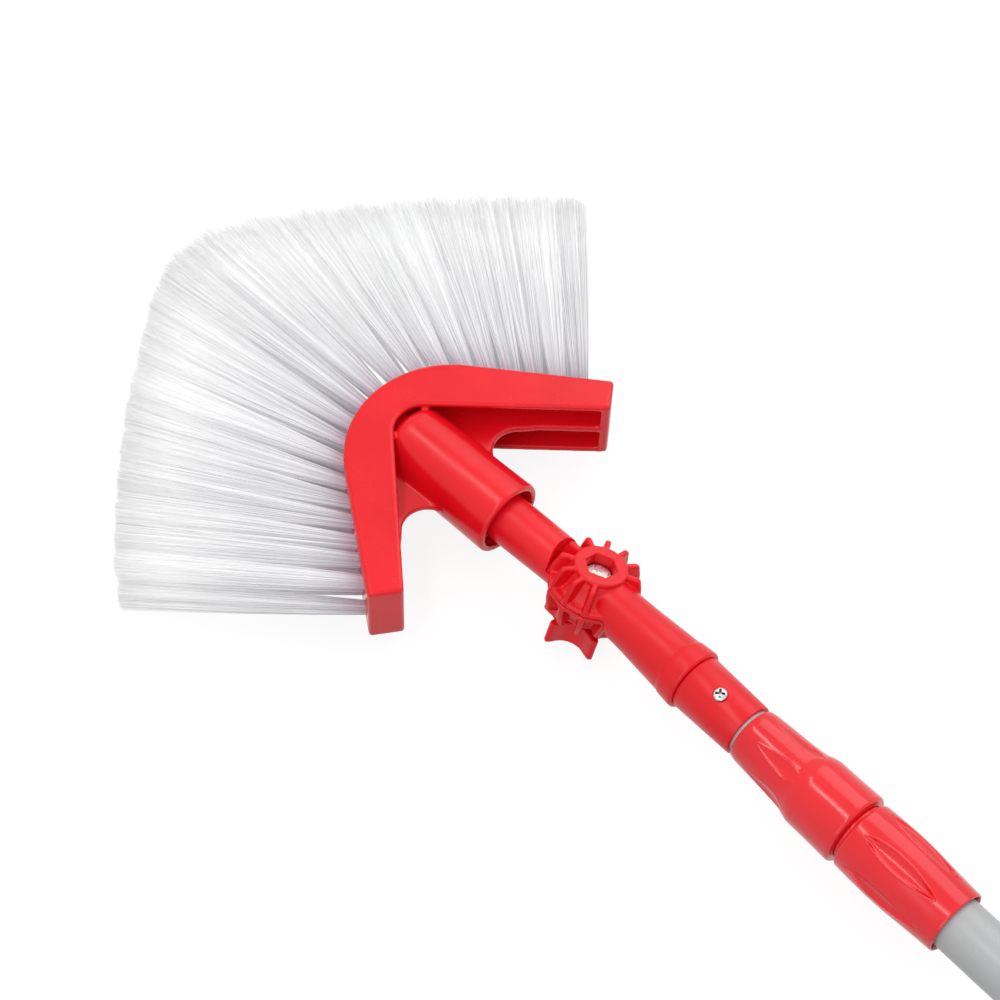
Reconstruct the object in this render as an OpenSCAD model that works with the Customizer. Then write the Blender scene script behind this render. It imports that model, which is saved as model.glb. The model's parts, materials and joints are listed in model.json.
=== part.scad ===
/* [Pole tubes] */
// Outside diameter of the outer pole tube
outer_pole_d = 25; // [22:0.5:30]
// Length of the outer pole tube
outer_pole_len = 660; // [400:10:900]
// Wall of both pole tubes
pole_wall = 0.8; // [0.6:0.1:1.2]
// Radial gap between the inner tube and the bore of the outer tube
pole_gap = 0.7; // [0.4:0.1:1]
// How far the inner tube stops short of the end cap when the pole is closed
inner_stop = 39; // [20:1:120]

/* [End cap and grip] */
// Distance from the middle of the hanging hole to the end of the outer tube
cap_reach = 18; // [16:0.5:26]
// Diameter of the hanging hole
hang_hole_d = 8; // [5:0.5:10]
// Radius of the rounded eye round the hanging hole
eye_r = 11; // [9:0.5:12]
// Thickness of the eye
eye_t = 9; // [6:0.5:14]
// Thickness of the flange that closes the tube
cap_flange_t = 4; // [2:0.5:6]
// Length of the plug inside the tube
cap_plug_len = 24; // [14:1:36]
// Length of the grip sleeve
grip_len = 110; // [70:1:180]
// Wall of the grip sleeve
grip_wall = 2.2; // [1.6:0.1:4]
// Distance between two rings of the grip
grip_ring_pitch = 8; // [6:0.5:14]
// Width of the groove beside each ring of the grip
grip_groove_w = 2.4; // [1.5:0.1:4]
// Depth of the grooves of the grip
grip_groove_depth = 1; // [0.4:0.1:1.2]

/* [Clamp collar] */
// Length of the visible collar
collar_len = 54.7; // [46:0.1:70]
// Length of outer tube held inside the collar
collar_cover = 44.3; // [34:0.1:45]
// Wall of the collar at its front rim
collar_front_wall = 3.8; // [3:0.1:5]
// Wall of the collar at its widest
collar_belly_wall = 4.5; // [3.6:0.1:6]
// Wall of the collar at its back rim
collar_back_wall = 2.8; // [2:0.1:4]
// Number of hollow grip leaves round the collar
collar_leaves = 6; // [4:1:8]
// Depth of a leaf on the collar
collar_leaf_depth = 1.3; // [0.4:0.1:1.8]
// Length of a leaf on the collar
collar_leaf_len = 40; // [24:1:46]
// Width of a leaf on the collar
collar_leaf_w = 7.6; // [4:0.1:9]
// Turn of the first leaf round the pole
collar_leaf_turn = -20; // [-60:1:60]
// Length of the male thread in front of the collar
collar_thread_len = 11.6; // [8:0.1:16]
// Wall of the threaded sleeve
collar_thread_wall = 1.5; // [1.2:0.1:2.5]

/* [Clamp nut] */
// Length of the clamp nut
nut_len = 61.9; // [54:0.1:75]
// Gap between the nut and the collar when the clamp is tight
nut_gap = 1.5; // [1:0.1:3]
// Wall at the narrow front end of the nut
nut_tip_wall = 1.6; // [1.2:0.1:2.4]
// Wall where the narrow part of the nut ends
nut_waist_wall = 3.1; // [2.6:0.1:4]
// Wall of the wide part outside the thread
nut_skirt_wall = 3.3; // [2.6:0.1:4]
// Length of the narrow part of the nut
nut_neck_len = 27; // [20:0.5:32]
// Length over which the nut widens
nut_flare_len = 11; // [8:0.5:14]
// Number of flats round the nut
nut_flats = 6; // [4:1:8]
// Depth of the flats at the waist of the nut
nut_flat_depth = 0.4; // [0.2:0.05:0.8]
// Slope of the flats towards the front of the nut
nut_flat_slope = 0.8; // [0.4:0.1:1.6]
// Turn of the first flat round the pole
nut_flat_turn = 30; // [-60:1:60]

/* [Clamp jaws] */
// Length of the cone on the jaws
jaw_cone_len = 5.4; // [4:0.1:7]
// How far the cone of the jaws widens beyond the sleeve
jaw_cone_step = 1; // [0.5:0.1:1.2]
// Width of the slots between the jaws
jaw_slot_w = 1.2; // [0.8:0.1:2]
// Number of slots between the jaws
jaw_slots = 4; // [3:1:6]
// Length of the ring that squeezes the jaws
ring_len = 7; // [5:0.1:9]

/* [Pole tip] */
// Length of the visible pole tip
tip_len = 32.4; // [26:0.1:44]
// Wall of the pole tip at its back rim
tip_back_wall = 1.7; // [1.4:0.1:2.6]
// Wall of the pole tip at its front rim
tip_front_wall = 2.4; // [2:0.1:3]
// Thickness of the wall that closes the pole tip
tip_end_wall = 4; // [3:0.1:6]
// Gap between the pole tip and the clamp nut when the pole is closed
closed_gap = 1.6; // [1.5:0.1:4]
// Distance from the front rim of the pole tip to its screw
tip_screw_in = 16.6; // [12:0.1:20]
// Turn of the screw round the pole, away from straight up
tip_screw_turn = 10; // [-30:1:30]
// Diameter of the screw head
screw_head_d = 6.2; // [5:0.1:7]
// Height of the screw head
screw_head_h = 2.2; // [1.6:0.1:3]
// Diameter of the screw shank
screw_d = 3.2; // [2.5:0.1:4]
// Length of the screw under its head
screw_len = 8; // [6:0.5:10]
// Depth of the flat seat under the screw head
screw_seat = 0.4; // [0.2:0.1:0.6]
// Diameter of the threaded stud on the pole tip
stud_d = 18.8; // [16:0.1:19.4]
// Length of the threaded stud
stud_len = 30; // [22:0.5:32]

/* [Lower arm] */
// Distance from the joint bolt to the end face of the lower arm
arm_len = 64; // [60:0.5:80]
// Radius of the lower arm beside the joint
arm_root_r = 11.7; // [11.2:0.1:12.4]
// Radius of the lower arm in front of its end rim
arm_back_r = 13.9; // [13:0.1:14.2]
// Radius of the end rim of the lower arm where it starts
arm_rim_start_r = 14.5; // [14.3:0.1:15]
// Radius of the end rim of the lower arm at its end
arm_rim_r = 15.1; // [14.5:0.1:16]
// Length of the end rim of the lower arm
arm_rim_len = 9; // [6:0.5:12]

/* [Angle joint] */
// Tilt of the joint bolt round the pole, away from straight up
joint_roll = 19; // [0:1:40]
// Angle at which the head is set on the joint
head_set = 5; // [-60:1:60]
// Radius over the ribs of the joint where the halves meet
joint_r = 21.2; // [20:0.1:24]
// Height of one half of the joint
half_h = 14.2; // [13:0.1:18]
// Gap between the two halves of the joint
half_gap = 0.3; // [0.2:0.1:0.6]
// Semi-axis along the bolt of the barrel that bounds the ribs
barrel_h = 22.5; // [20:0.5:30]
// Number of ribs in a full turn
rib_count = 12; // [10:1:16]
// Turn of the ribs round the bolt, away from the middle of the tube
rib_turn = 3; // [0:0.5:15]
// Thickness of a rib
rib_t = 2.8; // [1.8:0.1:3.2]
// Depth of the pockets between the ribs
rib_depth = 5.4; // [2:0.1:6]
// Thickness of the rim where the halves meet
joint_rim_t = 2.3; // [1.5:0.1:4]
// Outside radius of the flat ring on top of a half
crown_r = 12.4; // [11:0.1:14]
// Height left above the ribs of a half
crown_step = 0.8; // [0.4:0.1:2]
// Gap between the ribs of one half and the tube of the other
saddle_gap = 0.8; // [0.5:0.1:2]

/* [Bolt and knob] */
// Diameter of the joint bolt
bolt_d = 8; // [6:0.5:8]
// Length of the joint bolt under its head
bolt_len = 30; // [29:0.5:31]
// Width across the flats of the bolt head and the nut
hex_af = 12.8; // [11:0.1:13.5]
// Height of the bolt head
bolt_head_h = 5.3; // [4:0.1:6]
// Floor under the bolt head
bolt_floor = 3.2; // [2.5:0.1:4]
// Height of the nut in the knob
knob_nut_h = 6.5; // [5:0.1:7]
// Diameter of the washer under the knob
washer_d = 17; // [16:0.5:20]
// Thickness of the washer
washer_t = 1.4; // [1:0.1:2]
// Height of the star knob
knob_h = 11.4; // [10:0.1:14]
// Radius to the tips of the knob
knob_r = 18.5; // [16:0.5:24]
// Radius to the bottom of the hollows between the lobes
knob_valley_r = 9.8; // [9.6:0.1:12]
// Number of lobes on the knob
knob_lobes = 5; // [4:1:6]
// Half width of a lobe at its tip
knob_tip_half = 2; // [1:0.1:3]
// Turn of the knob round the bolt
knob_turn = 9.5; // [0:0.5:72]

/* [Neck] */
// Distance from the joint bolt to the mouth of the brush socket
neck_len = 50.6; // [46:0.1:70]
// Radius of the neck beside the joint
neck_root_r = 11.3; // [10.8:0.1:11.6]
// Radius of the neck at the mouth of the socket
neck_r = 11.6; // [11:0.1:11.8]
// Radius of the bore inside the neck
neck_bore_r = 7; // [4:0.5:8]
// Length of the thread on the neck
neck_thread_len = 33; // [24:1:36]
// Height of the thread above the neck
neck_thread_step = 0.3; // [0.1:0.1:0.6]

/* [Brush head] */
// Distance from the mouth of the socket to the front of the nose
head_len = 83.8; // [78:0.1:110]
// Thickness of the head
head_t = 36; // [34:0.5:44]
// Outside radius of the nose
nose_outer_r = 48.7; // [40:0.1:52]
// Inside radius of the nose
nose_inner_r = 14.2; // [13:0.1:20]
// Width of the top plate at the nose
nose_band = 17.4; // [16:0.1:22]
// Angle between the outer edge of an arm and the head axis
arm_outer_angle = 36.4; // [30:0.1:42]
// Angle between the inner edge of an arm and the head axis
arm_inner_angle = 42.3; // [38:0.1:46]
// Straight length of the outer edge of an arm
arm_edge_len = 67.4; // [60:0.1:90]
// Thickness of the wall that holds the tufts
tuft_wall = 6; // [5.5:0.1:11]
// Thickness of the top and bottom plates
plate_t = 3.2; // [2:0.1:4]
// Thickness of the web in the middle of the head
web_t = 3.8; // [1.6:0.1:4]
// Thickness of the end walls of the arms
end_wall = 4.5; // [3:0.1:6]
// Radius of the scallops beside the socket
scallop_r = 11.5; // [9:0.1:13]
// Distance from the inner edge of an arm to its scallop
scallop_land = 1.2; // [0.5:0.1:2]
// Outside radius of the socket at its mouth
socket_mouth_r = 18.3; // [17.9:0.1:20]
// Wall of the socket outside the thread
socket_wall = 5.9; // [5:0.1:6]
// Rounding of the closed end of the socket
socket_end_round = 6; // [3:0.5:8]
// Gap between the closed end of the socket and the edge of the nose
socket_nose_gap = 1.5; // [0.5:0.1:4]
// Rounding of the rim of the socket
socket_lip = 1.6; // [0.6:0.1:2]
// Radius of the wide mouth inside the socket
socket_entry_r = 15.2; // [13.5:0.1:15.6]
// Depth of the wide mouth inside the socket
socket_entry_len = 8; // [4:0.5:12]
// Radius of the core between the socket and the nose
nose_core_r = 11; // [6:0.5:13]

/* [Bristles] */
// Distance between two tufts of a row
tuft_pitch = 10.4; // [9.6:0.1:13]
// Radius of a tuft at its root
tuft_r = 2.1; // [1.6:0.1:2.2]
// Distance of each row of tufts from the middle of the head
row_z = 7; // [5:0.5:8.5]
// Distance of each row of tips from the middle of the head
tip_z = 9; // [8:0.5:12]
// Length of the bristles on the arms
bristle_len = 104; // [80:1:130]
// Extra length of the bristles at the nose
nose_extra = 21.5; // [0:0.5:30]
// Stretch of the edge over which the extra length fades
nose_fade = 22; // [15:1:40]
// Extra length of the bristles at the ends of the arms
arm_extra = 6; // [0:0.5:12]
// Angle to which the last tufts lean out
fan_angle = 43; // [30:1:50]
// Angle by which the tufts at the ends are combed over to one side
fan_skew = -3; // [-6:0.5:6]
// Share of the gap between tufts that the tips of one tuft fill
tip_fill = 0.92; // [0.5:0.01:0.95]
// Spread of the tips across the thickness, times the spread of the roots
thick_spread = 2.8; // [1:0.1:3]
// Radius of a strand at its root
strand_root_r = 0.5; // [0.3:0.05:0.5]
// Radius of a strand at its tip
strand_tip_r = 0.4; // [0.2:0.05:0.5]
// Thickness of the strip that carries the tufts
strip_t = 3; // [2.4:0.1:5]
// Width of the strip that carries the tufts
strip_w = 26; // [24:0.5:28]

/* [Fits] */
// Clearance of a part that turns or slides on another
run_fit = 0.1; // [0.05:0.01:0.1]
// Clearance of a part pressed or laid into another
seat_fit = 0.05; // [0.02:0.01:0.1]
// Clearance of the clamp nut over the inner tube
free_fit = 0.25; // [0.15:0.05:0.4]
// Clearance between the cone of the jaws and the ring
cone_fit = 0.25; // [0.15:0.05:0.4]
// Gap between end faces that turn against each other
face_fit = 0.2; // [0.1:0.05:0.3]

/* [Hidden] */
$fn = 96;
far = 200;
poke = 1;

red = "#e3202e";
grey = "#b5b7b8";
steel = "#c6c9cd";
white = "#f3f4f8";

// Radii of the pole, from the outside in
outer_pole_r = outer_pole_d / 2;
outer_bore_r = outer_pole_r - pole_wall;
inner_pole_r = outer_bore_r - pole_gap;
inner_bore_r = inner_pole_r - pole_wall;

// Places along the pole, from the hanging hole towards the head
pole_x = cap_reach;
pole_end_x = pole_x + outer_pole_len;
collar_x = pole_end_x - collar_cover;
collar_end_x = collar_x + collar_len;
sleeve_end_x = collar_end_x + collar_thread_len;
nut_x = collar_end_x + nut_gap;
nut_end_x = nut_x + nut_len;
tip_x = nut_end_x + closed_gap;
tip_end_x = tip_x + tip_len;
arm_x = tip_end_x + face_fit;
bolt_x = arm_x + arm_len;
inner_end_x = tip_end_x - tip_end_wall - seat_fit;
inner_x = pole_x + cap_plug_len + inner_stop;

// Clamp
jaw_bore_r = inner_pole_r + run_fit;
jaw_r = jaw_bore_r + 1.15;
sleeve_bore_r = jaw_r + seat_fit;
sleeve_r = sleeve_bore_r + collar_thread_wall;
nut_thread_r = sleeve_r + run_fit;
nut_r = nut_thread_r + nut_skirt_wall;
nut_bore_r = inner_pole_r + free_fit;
jaw_cone_r = jaw_r + jaw_cone_step;
cone_x = sleeve_end_x + face_fit;
jaw_end_x = cone_x + jaw_cone_len;
ring_x = cone_x + jaw_cone_len / 4;
ring_end_x = ring_x + ring_len;
ring_r = nut_thread_r + 0.5;
chamber_r = ring_r + run_fit;
chamber_end_x = ring_end_x + run_fit;

// Head outline: directions along and across the edges of the left arm
nose_x = neck_len + head_len;
outer_c = nose_x - nose_outer_r;
inner_nose_x = nose_x - nose_band;
inner_c = inner_nose_x - nose_inner_r;
along_outer = [-cos(arm_outer_angle), sin(arm_outer_angle)];
out_outer = [sin(arm_outer_angle), cos(arm_outer_angle)];
along_inner = [-cos(arm_inner_angle), sin(arm_inner_angle)];
out_inner = [sin(arm_inner_angle), cos(arm_inner_angle)];
arc_angle = 90 - arm_outer_angle;
arc_len = nose_outer_r * arc_angle * PI / 180;
edge_half = arc_len + arm_edge_len;

// Socket and neck
thread_r = neck_r + neck_thread_step;
socket_bore_r = thread_r + run_fit;
socket_r = socket_bore_r + socket_wall;
socket_end_x = inner_nose_x - socket_nose_gap;
thread_x = neck_len + socket_entry_len + 0.3;
neck_end_x = thread_x + neck_thread_len;
socket_bore_end_x = neck_end_x + 4;

// Centre of the left scallop, touching the socket and the land on the arm
scallop_y = socket_r + scallop_r;
scallop_x = inner_c + (nose_inner_r - scallop_land - scallop_r - scallop_y * out_inner[1]) / out_inner[0];

// Joint
stud_r = stud_d / 2;
arm_bore_r = stud_r + run_fit;
bolt_r = bolt_d / 2;
bolt_bore_r = bolt_r + run_fit;
hex_r = hex_af / 2 / cos(30);
hex_bore_r = (hex_af / 2 + run_fit) / cos(30);
parting = half_gap / 2;
saddle_r = joint_r + saddle_gap;
rib_pitch = 360 / rib_count;
rib_free = 30;
rib_angles = [for (i = [0:rib_count - 1]) let (a = rib_turn + i * rib_pitch)
    if (abs(a - 180) > rib_free) a];
washer_z = -half_h - run_fit;
knob_z = washer_z - washer_t - run_fit;

// Tufts: both rows sit on multiples of half the pitch, so the strips part between two tufts. The lower
// row has no tuft at the end of the right arm
strip_end = 3;
last_tuft = edge_half - strip_end - tuft_r;
side_tufts = floor(last_tuft / tuft_pitch);
side_gaps = floor(last_tuft / tuft_pitch + 0.5);
strip_border = (round(2 * arc_len / tuft_pitch) + 0.5) * tuft_pitch / 2;
spread = tuft_pitch / 2 * tip_fill / tuft_r;
lower_row = [for (i = [1 - side_tufts:side_tufts]) i * tuft_pitch];
upper_row = [for (i = [-side_gaps:side_gaps - 1]) (i + 0.5) * tuft_pitch];
tuft_ring = [for (i = [0:5]) tuft_r * [cos(60 * i), sin(60 * i)]];
tuft_core = [for (i = [0:2]) tuft_r / 2 * [cos(120 * i + 30), sin(120 * i + 30)]];
tuft_spots = concat(tuft_ring, tuft_core, [[0, 0]]);

// Frames: the joint frame has the bolt as its Z axis, the neck frame is turned to the head's setting
module joint_frame() {
    translate([bolt_x, 0, 0]) rotate([joint_roll, 0, 0]) children();
}

module neck_frame() {
    joint_frame() rotate([0, 0, head_set]) children();
}

module head_frame() {
    neck_frame() rotate([-joint_roll, 0, 0]) children();
}

// A body turned about the pole axis from points of radius and distance along +X
module turned(points) {
    rotate([90, 0, 90]) rotate_extrude() polygon(points);
}

// Places children at equal turns round the X axis
module round_x(count, start = 0) {
    for (i = [0:count - 1]) rotate([start + i * 360 / count, 0, 0]) children();
}

// Quarter-round corner in radius and distance, from a corner point and signs of its two sides
function corner(r, x, round, side, steps = 5) =
    [for (i = [0:steps]) let (a = 90 * i / steps)
        [r - round + round * (side > 0 ? cos(a) : sin(a)),
            x + side * round * ((side > 0 ? sin(a) : cos(a)) - 1)]];

module tube_x(x0, x1, r_out, r_in) {
    turned([[r_in, x0], [r_out, x0], [r_out, x1], [r_in, x1]]);
}

// Pole, grip and cap
module outer_pole() {
    color(grey) tube_x(pole_x, pole_end_x, outer_pole_r, outer_bore_r);
}

module inner_pole() {
    color(grey) difference() {
        tube_x(inner_x, inner_end_x, inner_pole_r, inner_bore_r);
        tip_screw_place() cylinder(r = screw_d / 2 + seat_fit, h = far, center = true, $fn = 48);
    }
}

module pole_grip() {
    grip_x = pole_x + face_fit;
    grip_end_x = pole_x + grip_len;
    grip_r = outer_pole_r + seat_fit + grip_wall;
    first = grip_x + 2 * grip_ring_pitch;
    last = grip_end_x - 2 * grip_ring_pitch;
    color(red) difference() {
        turned(concat(
            [[outer_pole_r + seat_fit, grip_x], [grip_r, grip_x]],
            corner(grip_r + 0.8, grip_end_x, 1.5, 1),
            [[outer_pole_r + seat_fit, grip_end_x]]));
        for (x = [first:grip_ring_pitch:last])
            tube_x(x, x + grip_groove_w, grip_r + 2 * poke, grip_r - grip_groove_depth);
    }
}

module end_cap() {
    flange_x = pole_x - cap_flange_t;
    flange_r = outer_pole_r + seat_fit + grip_wall;
    plug_r = outer_bore_r - seat_fit;
    color(red) difference() {
        union() {
            turned([[0, flange_x], [flange_r - 1, flange_x], [flange_r, flange_x + 1], [flange_r, pole_x],
                [plug_r, pole_x], [plug_r, pole_x + cap_plug_len], [plug_r - 2, pole_x + cap_plug_len],
                [plug_r - 2, pole_x + 2], [0, pole_x + 2]]);
            translate([0, 0, -eye_t / 2]) linear_extrude(eye_t) {
                circle(r = eye_r);
                translate([0, -eye_r]) square([flange_x + poke, 2 * eye_r]);
            }
        }
        cylinder(r = hang_hole_d / 2, h = far, center = true);
    }
}

module guide_bush() {
    color(grey) union() {
        turned([[0, inner_x - 6], [outer_bore_r - run_fit, inner_x - 6],
            [outer_bore_r - run_fit, inner_x - face_fit],
            [inner_bore_r - run_fit, inner_x - face_fit], [inner_bore_r - run_fit, inner_x + 14],
            [inner_bore_r - 3, inner_x + 14], [inner_bore_r - 3, inner_x], [0, inner_x]]);
    }
}

// Clamp
module clamp_collar() {
    front_r = outer_pole_r + collar_front_wall;
    belly_r = outer_pole_r + collar_belly_wall;
    back_r = outer_pole_r + collar_back_wall;
    belly_x = collar_end_x - collar_len * 0.35;
    leaf_r = pow(collar_leaf_len, 2) / (8 * collar_leaf_depth) + collar_leaf_depth / 2;
    leaf_section_r = pow(collar_leaf_w, 2) / (8 * collar_leaf_depth) + collar_leaf_depth / 2;
    leaf_x = collar_x + collar_len * 0.53;
    color(red) difference() {
        turned(concat(
            [[outer_pole_r + seat_fit, collar_x]],
            [[back_r - 0.8, collar_x], [back_r, collar_x + 0.8]],
            [for (i = [0:8]) let (t = i / 8)
                [belly_r - (belly_r - back_r) * pow(1 - t, 1.6),
                    collar_x + 2 + (belly_x - collar_x - 2) * t]],
            [for (i = [1:6]) let (t = i / 6)
                [belly_r - (belly_r - front_r) * t * t, belly_x + (collar_end_x - 0.8 - belly_x) * t]],
            [[front_r - 0.8, collar_end_x], [sleeve_r, collar_end_x], [sleeve_r, sleeve_end_x],
                [sleeve_bore_r, sleeve_end_x], [sleeve_bore_r, pole_end_x + seat_fit],
                [outer_pole_r + seat_fit, pole_end_x + seat_fit]]));
        round_x(collar_leaves, collar_leaf_turn)
            translate([leaf_x, 0, belly_r - collar_leaf_depth + leaf_r]) rotate([90, 0, 0])
                rotate_extrude() translate([leaf_r - leaf_section_r, 0]) circle(r = leaf_section_r, $fn = 48);
    }
}

module clamp_jaws() {
    color(grey) difference() {
        turned([[jaw_bore_r, pole_end_x + face_fit], [jaw_r, pole_end_x + face_fit], [jaw_r, cone_x],
            [jaw_cone_r, cone_x], [jaw_r, jaw_end_x], [jaw_bore_r, jaw_end_x]]);
        round_x(jaw_slots, 45)
            translate([collar_end_x, -jaw_slot_w / 2, 0]) cube([far, jaw_slot_w, far]);
    }
}

module squeeze_ring() {
    // Radius of the ring's cone at its back face, following the jaws' own cone
    slope = jaw_cone_step / jaw_cone_len;
    back_r = jaw_cone_r - slope * (ring_x - cone_x) + cone_fit;
    color(grey) turned([[back_r, ring_x], [ring_r, ring_x], [ring_r, ring_end_x], [nut_bore_r, ring_end_x],
        [nut_bore_r, jaw_end_x + cone_fit], [jaw_r + cone_fit, jaw_end_x + cone_fit / 2]]);
}

module clamp_nut() {
    tip_r = nut_bore_r + nut_tip_wall;
    waist_r = nut_bore_r + nut_waist_wall;
    waist_x = nut_end_x - nut_neck_len;
    flare_x = waist_x - nut_flare_len;
    color(red) difference() {
        turned(concat(
            [[nut_thread_r, nut_x]],
            corner(nut_r + 0.3, nut_x, 1, -1),
            [for (i = [0:10]) let (t = i / 10)
                [waist_r + (nut_r - waist_r) * (1 + cos(180 * t)) / 2, flare_x + nut_flare_len * t]],
            [[tip_r + 0.7, nut_end_x - 3], [tip_r, nut_end_x - 0.6], [tip_r - 0.6, nut_end_x],
                [nut_bore_r, nut_end_x], [nut_bore_r, chamber_end_x], [chamber_r, chamber_end_x],
                [chamber_r, ring_x - face_fit], [nut_thread_r, ring_x - face_fit]]));
        round_x(nut_flats, nut_flat_turn)
            translate([waist_x, 0, waist_r - nut_flat_depth]) rotate([0, nut_flat_slope, 0])
                translate([-nut_flare_len, -nut_r, 0])
                    cube([nut_flare_len + nut_neck_len - 6, 2 * nut_r, nut_r]);
    }
}

// Pole tip
tip_screw_x = tip_end_x - tip_screw_in;
tip_seat_r = inner_pole_r + seat_fit + tip_back_wall
    + (tip_front_wall - tip_back_wall) * (1 - tip_screw_in / tip_len) - screw_seat;

module tip_screw_place() {
    translate([tip_screw_x, 0, 0]) rotate([-tip_screw_turn, 0, 0]) translate([0, 0, tip_seat_r]) children();
}

module pole_tip() {
    bore_r = inner_pole_r + seat_fit;
    back_r = bore_r + tip_back_wall;
    front_r = bore_r + tip_front_wall;
    stud_bore_r = stud_r - 2.8;
    color(red) difference() {
        turned([[bore_r, tip_x], [back_r - 0.5, tip_x], [back_r, tip_x + 0.5], [front_r, tip_end_x],
            [stud_r, tip_end_x], [stud_r, tip_end_x + stud_len - 1], [stud_r - 1, tip_end_x + stud_len],
            [stud_bore_r, tip_end_x + stud_len], [stud_bore_r, tip_end_x - tip_end_wall],
            [bore_r, tip_end_x - tip_end_wall]]);
        tip_screw_place() {
            cylinder(r = screw_head_d / 2 + 0.3, h = far, $fn = 48);
            translate([0, 0, -tip_seat_r]) cylinder(r = screw_d / 2 + seat_fit, h = far, $fn = 48);
        }
    }
}

module tip_screw() {
    color(steel) tip_screw_place() difference() {
        union() {
            rotate_extrude($fn = 48) polygon([[0, 0], [screw_head_d / 2, 0],
                [screw_head_d / 2, screw_head_h * 0.45],
                [screw_head_d / 2 * 0.8, screw_head_h * 0.85], [screw_head_d / 2 * 0.45, screw_head_h],
                [0, screw_head_h]]);
            translate([0, 0, -screw_len]) cylinder(r = screw_d / 2, h = screw_len + 0.5, $fn = 48);
        }
        for (a = [0, 90]) rotate([0, 0, a]) translate([-1.6, -0.35, screw_head_h - 1]) cube([3.2, 0.7, 2]);
    }
}

// Joint: one ribbed half, standing on z = parting with its tube side at -X, where no ribs stand
rib_top = half_h - crown_step;
rib_steps = 6;
function barrel_r(z) = joint_r * sqrt(1 - pow(z / barrel_h, 2));

module ribbed_half() {
    core_r = joint_r - rib_depth;
    core_top_r = crown_r - 0.4;
    rotate_extrude() polygon([[0, parting], [joint_r - 0.7, parting], [joint_r - 0.7, joint_rim_t],
        [core_r + 1.2, joint_rim_t + 0.2], [core_r, joint_rim_t + 1.3], [core_r - 2, half_h * 0.5],
        [core_top_r, rib_top - 1.5],
        [crown_r, rib_top - 1], [crown_r, half_h - 0.5], [crown_r - 0.5, half_h], [0, half_h]]);
    for (a = rib_angles) rotate([0, 0, a]) rotate([90, 0, 0])
        linear_extrude(rib_t, center = true) polygon(concat(
            [[crown_r - 2, parting]],
            [for (k = [0:rib_steps]) let (z = parting + (rib_top - parting) * k / rib_steps)
                [barrel_r(z), z]],
            [[crown_r - 2, rib_top + 0.3]]));
}

module lower_arm() {
    color(red) joint_frame() difference() {
        union() {
            ribbed_half();
            difference() {
                mirror([1, 0, 0]) turned([[0, 8], [arm_root_r, 8], [arm_root_r, 18], [arm_root_r + 0.5, 30],
                    [arm_back_r, arm_len - arm_rim_len - 1], [arm_rim_start_r, arm_len - arm_rim_len],
                    [arm_rim_r, arm_len - 1.2], [arm_rim_r - 1.2, arm_len], [0, arm_len]]);
                translate([0, 0, parting - far]) cylinder(r = saddle_r, h = far);
            }
        }
        translate([0, 0, -poke]) cylinder(r = bolt_bore_r, h = far);
        translate([0, 0, bolt_floor + parting]) rotate([0, 0, 30]) cylinder(r = hex_bore_r, h = far, $fn = 6);
        mirror([1, 0, 0]) turned([[0, arm_len - stud_len - 1], [arm_bore_r - 1, arm_len - stud_len - 1],
            [arm_bore_r, arm_len - stud_len], [arm_bore_r, arm_len + poke], [0, arm_len + poke]]);
    }
}

module neck() {
    color(red) neck_frame() difference() {
        union() {
            rotate([180, 0, 180]) ribbed_half();
            difference() {
                turned([[0, 8], [neck_root_r, 8], [neck_root_r, 20], [neck_r, neck_len - 5],
                    [neck_r, thread_x], [thread_r, thread_x + neck_thread_step], [thread_r, neck_end_x - 1.5],
                    [thread_r - 1.5, neck_end_x], [0, neck_end_x]]);
                translate([0, 0, -parting]) cylinder(r = saddle_r, h = far);
            }
        }
        cylinder(r = bolt_bore_r, h = far, center = true);
        turned([[0, saddle_r + 8], [neck_bore_r, saddle_r + 8 + neck_bore_r / 2],
            [neck_bore_r, neck_end_x + poke],
            [0, neck_end_x + poke]]);
    }
}

module joint_bolt() {
    color(steel) joint_frame() translate([0, 0, bolt_floor + parting]) {
        intersection() {
            rotate([0, 0, 30]) cylinder(r = hex_r, h = bolt_head_h, $fn = 6);
            rotate_extrude() polygon([[0, 0], [hex_r, 0], [hex_r, bolt_head_h - 0.6],
                [hex_af / 2 - 0.3, bolt_head_h], [0, bolt_head_h]]);
        }
        translate([0, 0, 0.5 - bolt_len]) rotate_extrude($fn = 64) polygon([[0, -0.5], [bolt_r - 0.8, -0.5],
            [bolt_r, 0.3], [bolt_r, bolt_len], [0, bolt_len]]);
    }
}

module joint_washer() {
    color(steel) joint_frame() translate([0, 0, washer_z - washer_t]) difference() {
        cylinder(r = washer_d / 2, h = washer_t);
        translate([0, 0, -poke]) cylinder(r = bolt_bore_r, h = far, $fn = 64);
    }
}

// Knob: a disc with round hollows that meet its edge half a tip's width from each lobe
hollow_cos = cos(180 / knob_lobes - asin(knob_tip_half / knob_r));
hollow_r = (pow(knob_valley_r, 2) + pow(knob_r, 2) - 2 * knob_valley_r * knob_r * hollow_cos)
    / (2 * (knob_r * hollow_cos - knob_valley_r));

module star_knob() {
    color(red) joint_frame() translate([0, 0, knob_z]) rotate([0, 0, knob_turn]) difference() {
        rotate_extrude() polygon([[0, 0], [knob_r - 1.2, 0], [knob_r, -1.2], [knob_r, 1.2 - knob_h],
            [knob_r - 1.2, -knob_h], [0, -knob_h]]);
        for (i = [0:knob_lobes - 1]) rotate([0, 0, (i + 0.5) * 360 / knob_lobes])
            translate([knob_valley_r + hollow_r, 0, -far / 2]) cylinder(r = hollow_r, h = far);
        translate([0, 0, -far / 2]) cylinder(r = bolt_bore_r + 0.1, h = far, $fn = 64);
        translate([0, 0, -knob_nut_h - seat_fit]) rotate([0, 0, 30])
            cylinder(r = (hex_af / 2 + seat_fit) / cos(30), h = far, $fn = 6);
    }
}

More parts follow.
